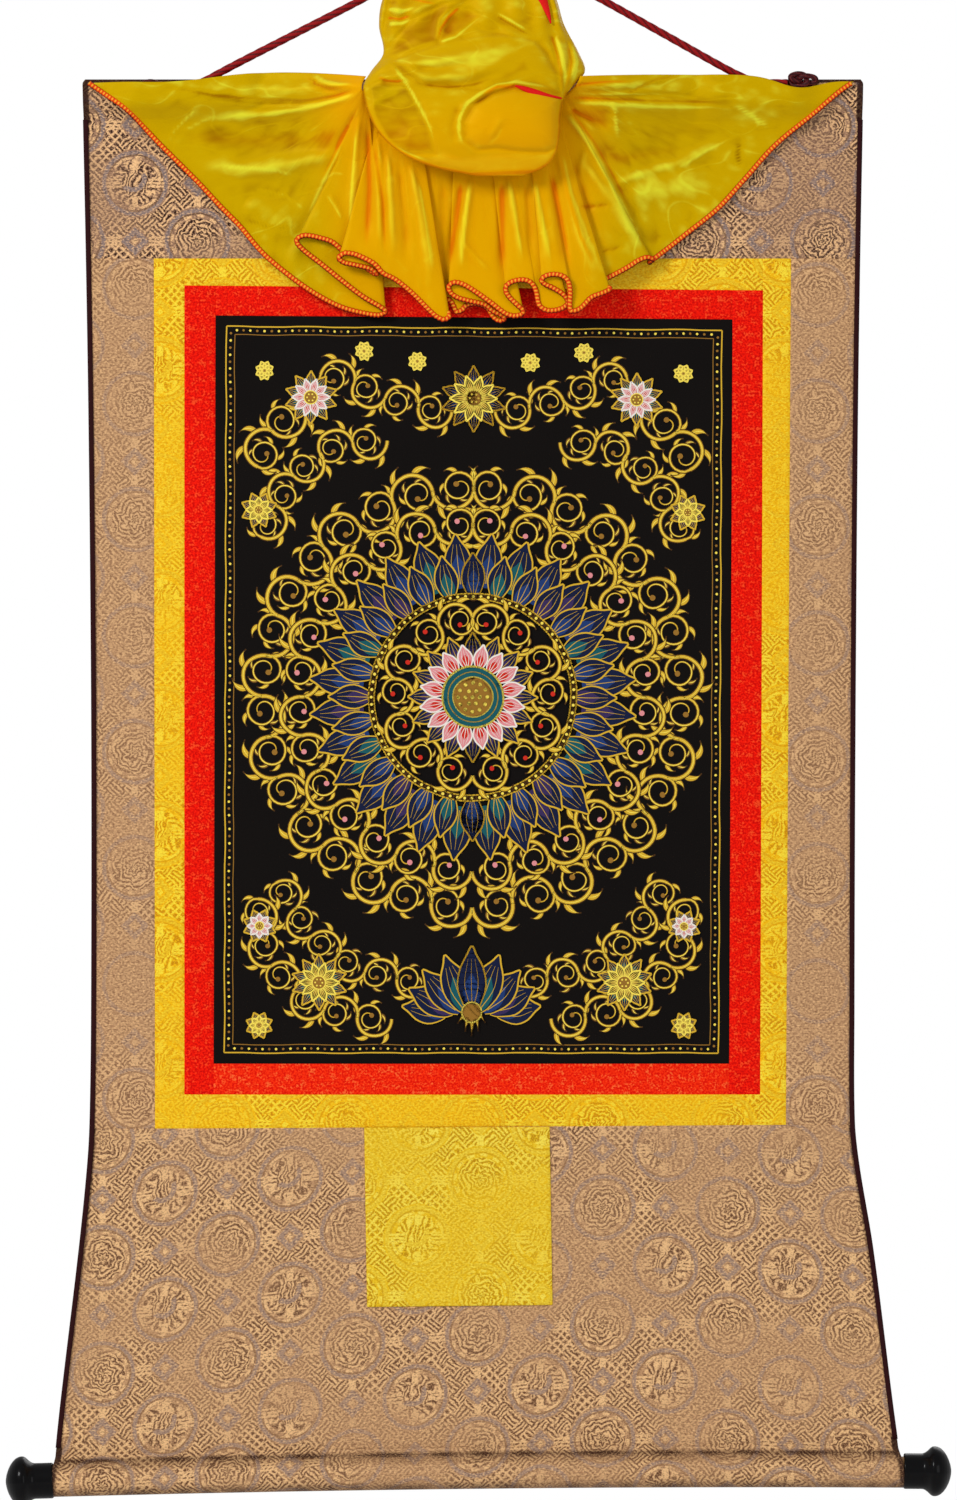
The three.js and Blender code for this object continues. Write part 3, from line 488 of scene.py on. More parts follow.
def brocade_design(shader):
    """The woven pattern as four numbers from 0 to 1: outline, bright, dark and how clear it is.
    Bright and dark also paint highlight and shade on the raised threads.
    """
    x, y, where = shader.weave()
    wave = shader.noise(where, WAVE, detail=2.0) - 0.5
    roll = shader.noise(where, 133, detail=2.0) - 0.5
    fray = shader.noise(where, FRAY, detail=1.0) - 0.5
    x, y = x + wave * 1.2 + fray * 1.1, y + roll * 1.2 - fray * 0.9
    x1, x2 = (to_nearest(x, 2 * HALF_WIDE, shift) for shift in (0, HALF_WIDE))
    y1, y2 = (to_nearest(y, 2 * HALF_HIGH, shift) for shift in (0, HALF_HIGH))
    r1, r2 = length_of(x1, y1), length_of(x2, y2)
    round_off = r1.math("MINIMUM", r2)
    flat = [value.math("ABSOLUTE") for value in (x1, x2, y1, y2)]
    square_off = (flat[1] + flat[2]).math("MINIMUM", flat[0] + flat[3])

    # A rose of ragged rings fills one kind of roundel.
    turn = y1.math("ARCTAN2", x1)
    ragged = (turn * 7 + wave * 9).math("SINE") * 0.7 + wave * 9
    rose = ((r1 + ragged) * (2 * math.pi / RING)).math("SINE")
    in_first = 1 - shader.step(r1, 13.2, 14.2)

    # Curled leaves round a hooked stem fill the other.
    lean = y2.math("ARCTAN2", x2)
    rays = (lean * 15 + wave * 22).math("SINE")
    leaves = ((x2 * 1.2 + y2 * 0.3 + roll * 12) * (2 * math.pi / RING)).math("SINE")
    leaves = shader.step(r2, 7.6, 8.4) * (rays - leaves) + leaves
    hook = band(shader, length_of(x2 + 1.5, y2 + 3), 7.0, 2.6)
    hook = hook * shader.step(x2 - y2 * -1.4, -4, -2)
    in_second = (1 - shader.step(r2, 13.4, 14.4)) * (1 - hook) * 0.8
    petals = (turn * 12).math("SINE")
    crescent = band(shader, round_off, 15.4, 1.3) * shader.step(petals, -0.4, 0.3)

    hatch = brocade_hatch(shader, x, y, where, wave, roll)
    between = shader.step(round_off, 20.4, 21.2) * shader.step(square_off, 9.6, 10.6)

    # Short bars tie each roundel to the diamonds beside it.
    along = flat[0].math("MINIMUM", flat[1])
    beside = (flat[0] - HALF_WIDE * 0.64).math("ABSOLUTE")
    row_off = flat[2].math("MINIMUM", flat[3])
    bars = band(shader, row_off, 2.1, 0.9).math("MAXIMUM", band(shader, row_off, 0, 0.8))
    bars = bars * (1 - shader.step(beside, 5.2, 6.0))
    level = (flat[2] - HALF_HIGH * 0.68).math("ABSOLUTE")
    post = (1 - shader.step(along, 1.7, 2.3)) * (1 - shader.step(level, 2.8, 3.4))

    outline = band(shader, round_off, ROUNDEL, 2.0)
    outline = outline.math("MAXIMUM", band(shader, square_off, DIAMOND - 1, 4.2))
    outline = outline.math("MAXIMUM", hook)
    inside = 1 - shader.step(square_off, 1.8, 2.4)
    thread = in_first * rose + in_second * leaves + between * hatch
    bright = shader.step(thread, 0.12, 0.58)
    for part in (bars, post, inside, crescent):
        bright = bright.math("MAXIMUM", part)
    bright = bright * (1 - outline)
    dark = shader.step(thread * -1, 0.15, 0.6) * (1 - bright)
    # A painted shadow: a dark ring just inside each roundel's raised outline.
    rim = band(shader, round_off, ROUNDEL - 1.9, 0.8) * 0.6
    dark = dark.math("MAXIMUM", rim * (1 - bright))
    clear = shader.step(shader.noise(where, CLOUD, detail=1.5), 0.38, 0.58) * 0.68 + 0.32
    return outline, bright, dark, clear


def brocade(name, ground, bright, dark, outline_colour, strength, grain_strength):
    """Figured silk: a grainy ground, woven outlines, and bright threads beside dark ones, whose
    colours are partly the weave and partly painted highlight and painted shade on its relief.
    """
    shader = Shader(name, roughness=0.55, specular_ior_level=0.1)
    outline, lit, shaded, clear = brocade_design(shader)
    where = shader.weave()[2]
    grain = shader.noise(where, 820, detail=2.0, stretch=(0.8, 1.2, 1))
    fleck = shader.noise(where, 1250, detail=1.0, stretch=(0.75, 1.25, 1))
    shown = clear * strength
    tone = shader.blend(outline * (clear * 0.3 + 0.5) * strength, ground, outline_colour)
    lit = lit * shown * shader.step(fleck, 0.3, 0.46)
    shaded = shaded * shown * shader.step(fleck, 0.66, 0.48)
    speck = shader.step(grain, 0.52, 0.68) * 0.55 * grain_strength
    pit = shader.step(grain, 0.48, 0.32) * 0.42 * grain_strength
    tone = shader.blend(speck.math("MAXIMUM", lit), tone, bright)
    tone = shader.blend(pit.math("MAXIMUM", shaded), tone, dark)
    # The crease values paint shade into the lower panel's seam and onto its roll, and give the
    # rims and the roll's ends the dark of their binding.
    shade_and_binding = shader.value("crease") * 1.5 * ((fleck - 0.5) * 3 + 1)
    tone = shader.blend(shade_and_binding.math("MINIMUM", 0.94), tone, SHADE_AND_BINDING_COLOUR)
    shader.bump(grain * 0.4 + lit * 0.5 - shaded * 0.4 + 0.3, 0.2 * MM)
    return shader.colour(tone)


def damask(name, deep, plain, bright):
    """Plain silk with a fine grain of its own colour."""
    shader = Shader(name, roughness=0.6, specular_ior_level=0.06)
    where = shader.weave()[2]
    grain = shader.noise(where, 800, detail=2.0)
    figure = shader.noise(where, 230, detail=2.0)
    tone = shader.blend(shader.step(grain, 0.36, 0.6), deep, plain)
    tone = shader.blend(shader.step(figure * 0.5 + grain * 0.5, 0.52, 0.64) * 0.6, tone, bright)
    shader.bump(grain * 0.6 + figure * 0.4, 0.2 * MM)
    return shader.colour(tone)


def canvas(name, dark, pale):
    """Black-primed cotton, rubbed smooth."""
    shader = Shader(name, roughness=0.75, specular_ior_level=0.04)
    where = shader.weave()[2]
    grain = shader.noise(where, 1200, detail=3.0)
    cloud = shader.noise(where, 14, detail=3.0)
    tone = shader.blend(grain * 0.5 + cloud * 0.5, dark, pale)
    shader.bump(grain, 0.1 * MM)
    return shader.colour(tone)


def plain_cloth(name, colour, shade):
    """Cotton with a plain weave."""
    shader = Shader(name, roughness=0.8, specular_ior_level=0.1)
    where = shader.solid()
    grain = shader.noise(where, 1300, detail=2.0)
    shader.bump(grain, 0.15 * MM)
    return shader.colour(shader.blend(grain, colour, shade))


# Settings that a user would change


class SewnSettings(bpy.types.PropertyGroup):
    """The sewn scroll."""

    thickness: FloatProperty(
        name="Cloth thickness",
        description="Thickness of each sewn cloth",
        default=0.9 * MM,
        unit="LENGTH",
    )
    brocade: FloatVectorProperty(
        name="Brocade",
        description="Ground colour of the brocade",
        default=linear(188, 144, 104),
        size=4,
        subtype="COLOR",
    )
    red_silk: FloatVectorProperty(
        name="Red silk",
        description="Colour of the inner border",
        default=linear(252, 24, 2),
        size=4,
        subtype="COLOR",
    )
    gold_silk: FloatVectorProperty(
        name="Gold silk",
        description="Colour of the outer border",
        default=linear(246, 188, 12),
        size=4,
        subtype="COLOR",
    )
    patch_silk: FloatVectorProperty(
        name="Patch silk",
        description="Colour of the patch below the borders",
        default=linear(236, 192, 28),
        size=4,
        subtype="COLOR",
    )


class CoverSettings(bpy.types.PropertyGroup):
    """The cover cloth."""

    satin: FloatVectorProperty(
        name="Satin",
        description="Colour of the cover cloth",
        default=linear(202, 164, 0),
        size=4,
        subtype="COLOR",
    )
    # Painted glow: the warm colour stands for light through and between the satin's layers where
    # it is gathered thickly.
    warm_satin: FloatVectorProperty(
        name="Warm satin",
        description="Colour of the cover cloth where it is gathered thickly",
        default=linear(234, 166, 0),
        size=4,
        subtype="COLOR",
    )
    hem: FloatVectorProperty(
        name="Hem",
        description="Colour of the thread over the cover's edge",
        default=linear(228, 70, 0),
        size=4,
        subtype="COLOR",
    )
    # Stitches: paler thread that shows where it faces forward, partly its own colour and partly
    # painted highlight.
    stitches: FloatVectorProperty(
        name="Stitches",
        description="Colour of the hem thread where it is raised",
        default=linear(255, 172, 40),
        size=4,
        subtype="COLOR",
    )


class StageSettings(bpy.types.PropertyGroup):
    """Lights and floor."""

    key_power: FloatProperty(
        name="Key light", description="Power of the main lamp", default=52, unit="POWER"
    )
    fill_power: FloatProperty(
        name="Fill light", description="Power of the second lamp", default=12, unit="POWER"
    )
    room_light: FloatProperty(
        name="Room light", description="Strength of the light from all round", default=0.5
    )
    floor_colour: FloatVectorProperty(
        name="Floor",
        description="Colour of the floor",
        default=linear(236, 236, 236),
        size=4,
        subtype="COLOR",
    )


class Maker(bpy.types.Operator):
    """What every step of making the scroll has in common."""

    bl_idname = "scroll.maker"
    bl_label = "Make a piece"
    bl_options = {"INTERNAL"}

    def execute(self, context):
        self.make(context.scene)
        return {"FINISHED"}


# Camera and hanging cord

VIEW_HEIGHT = 904.5  # what the camera takes in, top to bottom
VIEW_MIDDLE = (3.6, 404.3)  # across and drop
LENS = 250
SENSOR = 36


class SCROLL_OT_camera(Maker):
    """Adds the camera, square to the scroll and far off"""

    bl_idname = "scroll.camera"
    bl_label = "Camera"

    def make(self, scene):
        data = bpy.data.cameras.new("Camera")
        data.sensor_fit = "VERTICAL"
        data.sensor_height = SENSOR
        data.lens = LENS
        camera = bpy.data.objects.new("Camera", data)
        scene.collection.objects.link(camera)
        distance = VIEW_HEIGHT * LENS / SENSOR
        camera.location = place(*VIEW_MIDDLE, distance)
        camera.rotation_euler = (math.pi / 2, 0, 0)
        scene.camera = camera


CORD_DIAMETER = 4.6
# The middle of the cord, from the left knot over the nail to the right knot, as across, drop
# and forward.
CORD_ROUTE = (
    (-182.0, 5.4, 8.5),
    (-176.0, 5.4, 8.5),
    (-169.0, 4.4, 8.5),
    (-161.0, 1.2, 8.5),
    (-152.0, -3.6, 8.4),
    (-140.0, -10.0, 8.0),
    (-108.0, -26.5, 6.6),
    (-60.6, -51.2, 4.4),
    (-30.0, -69.0, 2.4),
    (-13.0, -80.2, 0.8),
    (-6.0, -85.4, 0.2),
    (0.0, -88.3, 0.0),
    (6.0, -86.6, 0.2),
    (14.0, -81.8, 0.8),
    (38.0, -69.4, 2.6),
    (76.9, -48.4, 4.8),
    (118.0, -25.4, 6.8),
    (146.0, -9.6, 8.0),
    (158.0, -3.2, 8.4),
    (167.0, 0.7, 8.5),
    (175.0, 2.4, 8.5),
    (182.0, 2.6, 8.5),
    (189.6, 2.6, 8.5),
)
CORD_STRANDS = 4
CORD_LAY = 7.5  # length of one turn of a strand
CORD_STEP = 0.6
CORD_SIDES = 20
KNOT_LEFT = (-192.1, 5.6, 9.0)
KNOT_RIGHT = (198.2, 0.8, 9.0)
KNOT_WIDTH, KNOT_HEIGHT, KNOT_DEPTH = 21, 10.4, 6
KNOT_STEPS = 160
KNOT_LAYS = 14  # turns of a strand in one knot
KNOT_SQUEEZE = 0.72  # how much thinner the cord is in the tight knot


def smooth_path(points, step):
    """Places at even steps along a smooth line through the points, and their distances."""
    points = np.array(points, float)
    rough = distances(points)
    fine = np.linspace(0, rough[-1], 4000)
    line = np.stack([smooth_curve(rough, part)(fine) for part in points.T], axis=-1)
    return even_places(line, max(2, round(distances(line)[-1] / step)) + 1)


def frames_along(line, closed):
    """Two directions square to a line at each of its points, which turn as little as they can."""
    tangent = np.roll(line, -1, axis=0) - np.roll(line, 1, axis=0)
    if not closed:
        tangent[0], tangent[-1] = line[1] - line[0], line[-1] - line[-2]
    tangent /= np.linalg.norm(tangent, axis=1)[:, None]
    side = np.empty_like(tangent)
    last = np.cross(tangent[0], (0.1, 1, 0.2))
    for k, way in enumerate(tangent):
        last = last - (last @ way) * way
        last /= np.linalg.norm(last)
        side[k] = last
    up = np.cross(side, tangent)
    if closed:
        # What the frame has turned by when it comes round is taken back evenly.
        end = side[-1] - (side[-1] @ tangent[0]) * tangent[0]
        short = math.atan2(end @ up[0], end @ side[0])
        turn = (-short * np.arange(len(line)) / len(line))[:, None]
        side, up = np.cos(turn) * side + np.sin(turn) * up, np.cos(turn) * up - np.sin(turn) * side
    return side, up


def tube_rings(line, radius_at, sides, closed=False):
    """Rings of points round a line. radius_at takes the number of a ring and an angle."""
    side, up = frames_along(line, closed)
    angle = full_turn(sides)
    radius = radius_at(np.arange(len(line))[:, None], angle[None, :])
    across = (radius * np.cos(angle))[..., None] * side[:, None]
    return line[:, None] + across + (radius * np.sin(angle))[..., None] * up[:, None]


def tube(name, line, radius_at, sides):
    """A tube with closed ends along a line in metres."""
    rings = tube_rings(line, radius_at, sides)
    points = np.concatenate([rings.reshape(-1, 3), line[[0, -1]]])
    return mesh_object(name, points, capped_faces(len(line), sides))


def strands(turn, radius):
    """Two functions of a ring and an angle: how high the cord's strands are, and its radius."""

    def height(i, angle):
        return np.abs(np.cos((CORD_STRANDS * angle + turn[i]) / 2))

    def radius_at(i, angle):
        return radius * (0.86 + 0.16 * height(i, angle) ** 0.7)

    return height, radius_at


def braided(name, deep, colour, bright):
    """Silky cord, with painted shade between its strands and a painted highlight on their crests.
    """
    shader = Shader(name, roughness=0.5, specular_ior_level=0.2)
    height = shader.value("strand")
    thread = shader.noise(shader.solid(), 2600, detail=2.0)
    tone = shader.blend(shader.step(height, 0.05, 0.75), deep, colour)
    tone = shader.blend(shader.step(height * thread, 0.45, 0.75) * 0.6, tone, bright)
    shader.bump(thread, 0.08 * MM)
    return shader.colour(tone)


class SCROLL_OT_cord(Maker):
    """Adds the cord that runs over the nail, and the knots at its ends"""

    bl_idname = "scroll.cord"
    bl_label = "Hanging cord"

    def make(self, scene):
        material = braided("Cord", linear(50, 0, 4), linear(146, 0, 6), linear(190, 14, 20))
        # The knots are the same cord in painted shade, with orange glints as painted highlight.
        dark = braided("Cord knot in painted shade", linear(26, 2, 6), linear(74, 8, 16), linear(196, 84, 56))
        knots = [
            self.knot("cord_knot_left", KNOT_LEFT, dark),
            self.knot("cord_knot_right", KNOT_RIGHT, dark),
        ]
        route = [place(*point).tolist() for point in CORD_ROUTE]
        line, distance = smooth_path(route, CORD_STEP * MM)
        turn = distance / (CORD_LAY * MM) * 2 * math.pi
        height, radius_at = strands(turn, CORD_DIAMETER / 2 * MM)
        cord = tube("cord", line, radius_at, CORD_SIDES)
        heights = height(np.arange(len(line))[:, None], full_turn(CORD_SIDES)[None, :])
        add_values(cord, "strand", np.concatenate([heights.ravel(), [1, 1]]))
        finish_piece(cord, material, ["hanging_cord"])

    def knot(self, name, where, material):
        """An overhand knot drawn tight, which is a trefoil."""
        s = full_turn(KNOT_STEPS)
        reach = 1 + 0.5 * np.cos(1.5 * 2 * s)
        loop = np.stack(
            [
                reach * np.cos(2 * s) * KNOT_WIDTH * 0.27,
                -np.sin(3 * s) * KNOT_DEPTH * 0.24,
                reach * np.sin(2 * s) * KNOT_HEIGHT * 0.25,
            ],
            axis=-1,
        )
        line = loop * MM + place(*where)
        height, radius_at = strands(s * KNOT_LAYS, CORD_DIAMETER / 2 * MM * KNOT_SQUEEZE)
        rings = tube_rings(line, radius_at, CORD_SIDES, closed=True)
        faces = grid_faces(KNOT_STEPS, CORD_SIDES, round_rows=True, round_columns=True)
        piece = mesh_object(name + "_cord", rings, faces)
        heights = height(np.arange(KNOT_STEPS)[:, None], full_turn(CORD_SIDES)[None, :])
        add_values(piece, "strand", heights)
        return finish_piece(piece, material, [name])


# The sewn ground


def corners_at(corners, u, v):
    """Across and drop at a place from 0 to 1 in a four-cornered panel."""

    def side(k):
        top = mix(corners["top_left"][k], corners["top_right"][k], u)
        bottom = mix(corners["bottom_left"][k], corners["bottom_right"][k], u)
        return mix(top, bottom, v)

    return side(0), side(1)


def seam_dip(edge):
    """How far cloth is drawn in at a distance from its seam."""
    return 0.55 * np.exp(-edge / 0.8) + 0.12 * np.exp(-edge / 3.5)


PANEL_STEP = 3.0


def panel(name, corners, weave_from=(0, 0), layer=0):
    """A four-cornered panel, drawn in at its seams."""
    width = corners["top_right"][0] - corners["top_left"][0]
    height = corners["bottom_left"][1] - corners["top_left"][1]
    u, v = np.meshgrid(spread(width, PANEL_STEP), spread(height, PANEL_STEP))
    across, drop = corners_at(corners, u, v)
    edge = np.minimum(np.minimum(u, 1 - u) * width, np.minimum(v, 1 - v) * height)
    forward = layer * LAYER + hang(across, drop) + cockles(across, drop) - seam_dip(edge)
    weave = (across - weave_from[0], drop - weave_from[1])
    return cloth(name, across, drop, forward, weave)


def border_strips(inner, outer):
    """The four strips between two nested rectangles. The side strips run full height."""

    def outer_drop(row, share):
        return mix(outer[f"{row}_left"][1], outer[f"{row}_right"][1], share)

    left = {
        "top_left": outer["top_left"],
        "top_right": (inner["top_left"][0], outer_drop("top", 0.05)),
        "bottom_left": outer["bottom_left"],
        "bottom_right": (inner["bottom_left"][0], outer_drop("bottom", 0.05)),
    }
    right = {
        "top_left": (inner["top_right"][0], outer_drop("top", 0.95)),
        "top_right": outer["top_right"],
        "bottom_left": (inner["bottom_right"][0], outer_drop("bottom", 0.95)),
        "bottom_right": outer["bottom_right"],
    }
    top = {
        "top_left": left["top_right"],
        "top_right": right["top_left"],
        "bottom_left": inner["top_left"],
        "bottom_right": inner["top_right"],
    }
    bottom = {
        "top_left": inner["bottom_left"],
        "top_right": inner["bottom_right"],
        "bottom_left": left["bottom_right"],
        "bottom_right": right["bottom_left"],
    }
    return {"left": left, "right": right, "top": top, "bottom": bottom}


def flat_size(across, drop, forward):
    """The width and length of a sheet's cut, in metres."""
    points = place(across, drop, forward)
    along = np.linalg.norm(np.diff(points, axis=1), axis=-1).sum(axis=1)
    down = np.linalg.norm(np.diff(points, axis=0), axis=-1).sum(axis=0)
    return float(along.max()), float(down.max())


# The red silk painted lighter, as a painted sheen.
LIT_RED = linear(255, 48, 8)


class SCROLL_OT_borders(Maker):
    """Adds the red and the gold border and the gold patch"""

    bl_idname = "scroll.borders"
    bl_label = "Borders"

    def make(self, scene):
        red = damask("Red silk", linear(206, 4, 0), scene.sewn.red_silk, linear(255, 92, 40))
        # The lowest strip is cut across the cloth and catches more light, which is painted into
        # its colour as a painted sheen.
        across = damask("Red silk across with painted sheen", linear(224, 14, 0), LIT_RED, linear(255, 124, 60))
        gold = brocade(
            "Gold silk",
            scene.sewn.gold_silk,
            linear(255, 234, 66),
            linear(190, 114, 0),
            linear(232, 192, 40),
            strength=0.75,
            grain_strength=1.1,
        )
        pale = brocade(
            "Patch silk",
            scene.sewn.patch_silk,
            linear(255, 236, 92),
            linear(176, 118, 4),
            linear(234, 202, 58),
            strength=0.78,
            grain_strength=1.1,
        )
        kinds = (
            ("red_border", PICTURE, RED_FRAME, red, "red_silk"),
            ("gold_border", RED_FRAME, GOLD_FRAME, gold, "gold_silk"),
        )
        for prefix, inner, outer, material, slot in kinds:
            for side, corners in border_strips(inner, outer).items():
                node = f"{prefix}_{side}"
                piece = panel(f"{node}_silk", corners)
                silk = across if node == "red_border_bottom" else material
                self.declare(piece, corners, silk, slot, node)
        patch = panel("gold_patch_silk", PATCH, weave_from=PATCH_FROM, layer=1)
        self.declare(patch, PATCH, pale, "gold_silk", "gold_patch")

    def declare(self, piece, corners, material, slot, node):
        finish_piece(piece, material, [node])
        width = corners["top_right"][0] - corners["top_left"][0]
        height = corners["bottom_left"][1] - corners["top_left"][1]
        width * MM
        height * MM


def soft_path(corners, step, blur):
    """Places along a line with its corners rounded off."""
    corners = np.array(corners, float)
    line, _ = even_places(corners, round(distances(corners)[-1] / step) + 1)
    return eased(line, blur)


def eased(line, times):
    """A line with each of its inner points drawn towards the two beside it."""
    for _ in range(times):
        line[1:-1] = (line[:-2] + 2 * line[1:-1] + line[2:]) / 4
    return line


# The middle of one roundel in each panel's weave.
BROCADE_TOP_FROM = (-165.8, 97.5)
BROCADE_LEFT_FROM = (-203.7, 125.3)
BROCADE_RIGHT_FROM = (208.0, 129.7)
BROCADE_BOTTOM_FROM = (153.9, 749.5)
PATCH_FROM = (4.8, 663.5)

RIM_PLACES = (0.0, 0.7, 1.3, 1.7, 2.2, 4.0)  # rows of points beside an outer edge
BOUND = 2.0  # how dark the edges are that only their own turned rim binds
FLARE = 1.5  # how far the rolled part reaches out towards the knobs
UPPER_WIDTH, SIDE_WIDTH, LOWER_WIDTH = 466, 42, 505
LOWER_HEIGHT = 190  # of its flat part, where it is shortest
LOWER_STEP = 2.6
ROLL_STEPS = 40
SEAM_LIP = (1.6, 2.6)  # how far out and down the cloth turns from the sleeve's seam to its roll
SLEEVE_OPENING = 38  # degrees to each side of the roll's top, where its cloth is sewn together


def weft_sag(across):
    """How far the lower panel's weft hangs towards its two sides."""
    right = 9 * np.clip((across - 90) / 150, 0, 1) ** 2
    left = 31 * np.clip((90 - across) / 307, 0, 1) ** 1.25
    return right + left


class SCROLL_OT_ground(Maker):
    """Adds the four brocade panels of the ground"""

    bl_idname = "scroll.ground"
    bl_label = "Brocade ground"

    def make(self, scene):
        ground = scene.sewn.brocade
        rings = linear(142, 124, 120)
        dusky = linear(163, 124, 97)
        upper = brocade(
            "Brocade upper", dusky, linear(248, 198, 142), linear(44, 18, 8), rings, 1.1, 1.35
        )
        soft = linear(152, 130, 120)
        lower = brocade(
            "Brocade", ground, linear(250, 202, 144), linear(68, 30, 12), soft, 0.84, 1.25
        )
        calm = brocade(
            "Brocade side", ground, linear(246, 198, 142), linear(80, 38, 18), soft, 0.6, 1.3
        )
        self.top(upper)
        self.side("left", calm)
        self.side("right", calm)
        self.bottom(lower)

    def top(self, material):
        """Up the front, over the batten and down behind it."""
        crown = SOLID_CLOTH / 2
        under = crown + BATTEN_HEIGHT + 1.2
        last = GOLD_FRAME["top_left"][1]
        corners = [
            (-LAYER, TOP_HEM),
            (-LAYER, crown + 1.6),
            (-LAYER + 0.5, crown + 0.4),
            (-LAYER + 1.6, crown),
            (SLEEVE_FRONT - 1.6, crown),
            (SLEEVE_FRONT - 0.5, crown + 0.4),
            (SLEEVE_FRONT, crown + 1.6),
            (SLEEVE_FRONT, under),
            (SLEEVE_FRONT * 0.8, under + 2.6),
            (SLEEVE_FRONT * 0.2, under + 6),
            (0, under + 9),
            (0, last - 5),
        ]
        line = soft_path(corners, 0.9, 3)
        seam = [(0, last - edge) for edge in SEAM_PLACES[::-1]]
        line = np.concatenate([line[:45], line[45::3], seam])
        run = distances(line)
        run += last - run[-1]
        u, run = np.meshgrid(spread(UPPER_WIDTH, PANEL_STEP, RIM_PLACES), run)
        drop = np.broadcast_to(line[:, 1:2], u.shape)
        inset = LAYER * mix(0.1, 0.6, smooth_step(TOP_HEM, TOP_HEM + 4, drop))
        inset = inset + 1.5 * hump(drop, crown, 1.3)
        across = mix(left_edge(drop) + inset, right_edge(drop) - inset, u)
        forward = line[:, :1] + hang(across, drop) - seam_dip(last - run)
        forward = forward + cockles(across, drop) * smooth_step(20, 60, run)
        weave = (across - BROCADE_TOP_FROM[0], run - BROCADE_TOP_FROM[1])
        piece = cloth("brocade_top_cloth", across, drop, forward, weave)
        rim = np.minimum(across - left_edge(drop), right_edge(drop) - across)
        edge = np.minimum(rim - 2.2, (drop - crown - 1.2) * 2)
        add_values(piece, "crease", BOUND * (1 - smooth_step(0, 0.5, edge)))
        finish_piece(piece, material, ["brocade_top"])
        size = flat_size(across, drop, forward)

    def side(self, side, material):
        """Beside the borders, from the lining's turned edge."""
        is_left = side == "left"
        edge = left_edge if is_left else right_edge
        top, bottom = GOLD_FRAME[f"top_{side}"], GOLD_FRAME[f"bottom_{side}"]
        high = bottom[1] - top[1]
        u, v = np.meshgrid(spread(SIDE_WIDTH, PANEL_STEP), spread(high, PANEL_STEP))
        drop = mix(top[1], bottom[1], v)
        inner = mix(top[0], bottom[0], v)
        rim = edge(drop) + (LAYER if is_left else -LAYER) * 0.6
        across = mix(rim, inner, u) if is_left else mix(inner, rim, u)
        seam = np.minimum(np.abs(across - inner), np.minimum(drop - top[1], bottom[1] - drop))
        forward = hang(across, drop) + cockles(across, drop) - seam_dip(seam)
        start = BROCADE_LEFT_FROM if is_left else BROCADE_RIGHT_FROM
        weave = (across - start[0], drop - start[1])
        piece = cloth(f"brocade_{side}_cloth", across, drop, forward, weave)
        finish_piece(piece, material, [f"brocade_{side}"])
        size = flat_size(across, drop, forward)

    def bottom(self, material):
        """Down to the seam, forward round the dowel and up behind it again."""
        u = spread(LOWER_WIDTH, LOWER_STEP, RIM_PLACES)
        low_left, low_right = GOLD_FRAME["bottom_left"], GOLD_FRAME["bottom_right"]
        guess = mix(LEFT_EDGE[-3], RIGHT_EDGE[-3], u)
        centre = dowel_drop(guess)
        share = np.clip((guess - low_left[0]) / (low_right[0] - low_left[0]), 0, 1)
        top = mix(low_left[1], low_right[1], share)
        columns = [self.sleeve(start, middle) for start, middle in zip(top, centre)]
        line = eased(np.stack(columns, axis=1), 2)
        drop, run = line[..., 1], distances(line)
        below = drop - centre
        inset = LAYER * mix(0.6, 0.1, smooth_step(-SEAM_RISE - 8, -SEAM_RISE - 5, below))
        across = mix(left_edge(drop) + inset, right_edge(drop) - inset, u)
        rim = np.minimum(across - left_edge(drop), right_edge(drop) - across)
        # The rolled part reaches the knobs.
        reach = FLARE * (1 - smooth_step(0, 24, rim)) * smooth_step(-14, -5, below)
        across = across + np.sign(u - 0.5) * reach
        flat_share = 1 - smooth_step(800, 826, drop)
        forward = line[..., 0] + hang(across, drop) + cockles(across, drop) * flat_share
        forward = forward - seam_dip(drop - top) - self.pulls(across, drop, centre)
        weave = (
            across - BROCADE_BOTTOM_FROM[0],
            run + top - weft_sag(across) - BROCADE_BOTTOM_FROM[1],
        )
        piece = cloth("brocade_bottom_cloth", across, drop, forward, weave)
        add_values(piece, "crease", self.creases(across, below, rim))
        finish_piece(piece, material, ["brocade_bottom"])
        width, length = flat_size(across, drop, forward)

    def sleeve(self, top, centre):
        """One column of the lower panel, as forward and drop, round a dowel at that drop."""
        seam, (out, down) = centre - SEAM_RISE, SEAM_LIP
        flat = mix(top, seam, spread(LOWER_HEIGHT, LOWER_STEP))
        start = math.radians(SLEEVE_OPENING)
        turn = np.linspace(start, 2 * math.pi - start, ROLL_STEPS)
        roll = SLEEVE_RADIUS * np.stack([np.sin(turn), -np.cos(turn)], axis=-1) + (0, centre)
        tail = [(-out - LAYER, seam + down), (-LAYER, seam), (-LAYER, seam - SEAM_TAIL)]
        front = np.stack([np.zeros_like(flat), flat], axis=-1)
        return np.concatenate([front, [(out, seam + down)], roll, tail])

    def creases(self, across, below, rim):
        """How dark the lower panel is: painted shade in its seam, on the roll just under it and
        towards the roll's underside, and the dark of its binding at its rims and at the roll's
        ends.
        """
        # Painted shade: a dark line in the seam's hollow, with a soft band round it.
        seam = 0.6 * np.exp(-(((below + 10.3) / 1.5) ** 4)) + 0.12 * hump(below, -10, 5)
        on_roll = smooth_step(-12, -10, below)
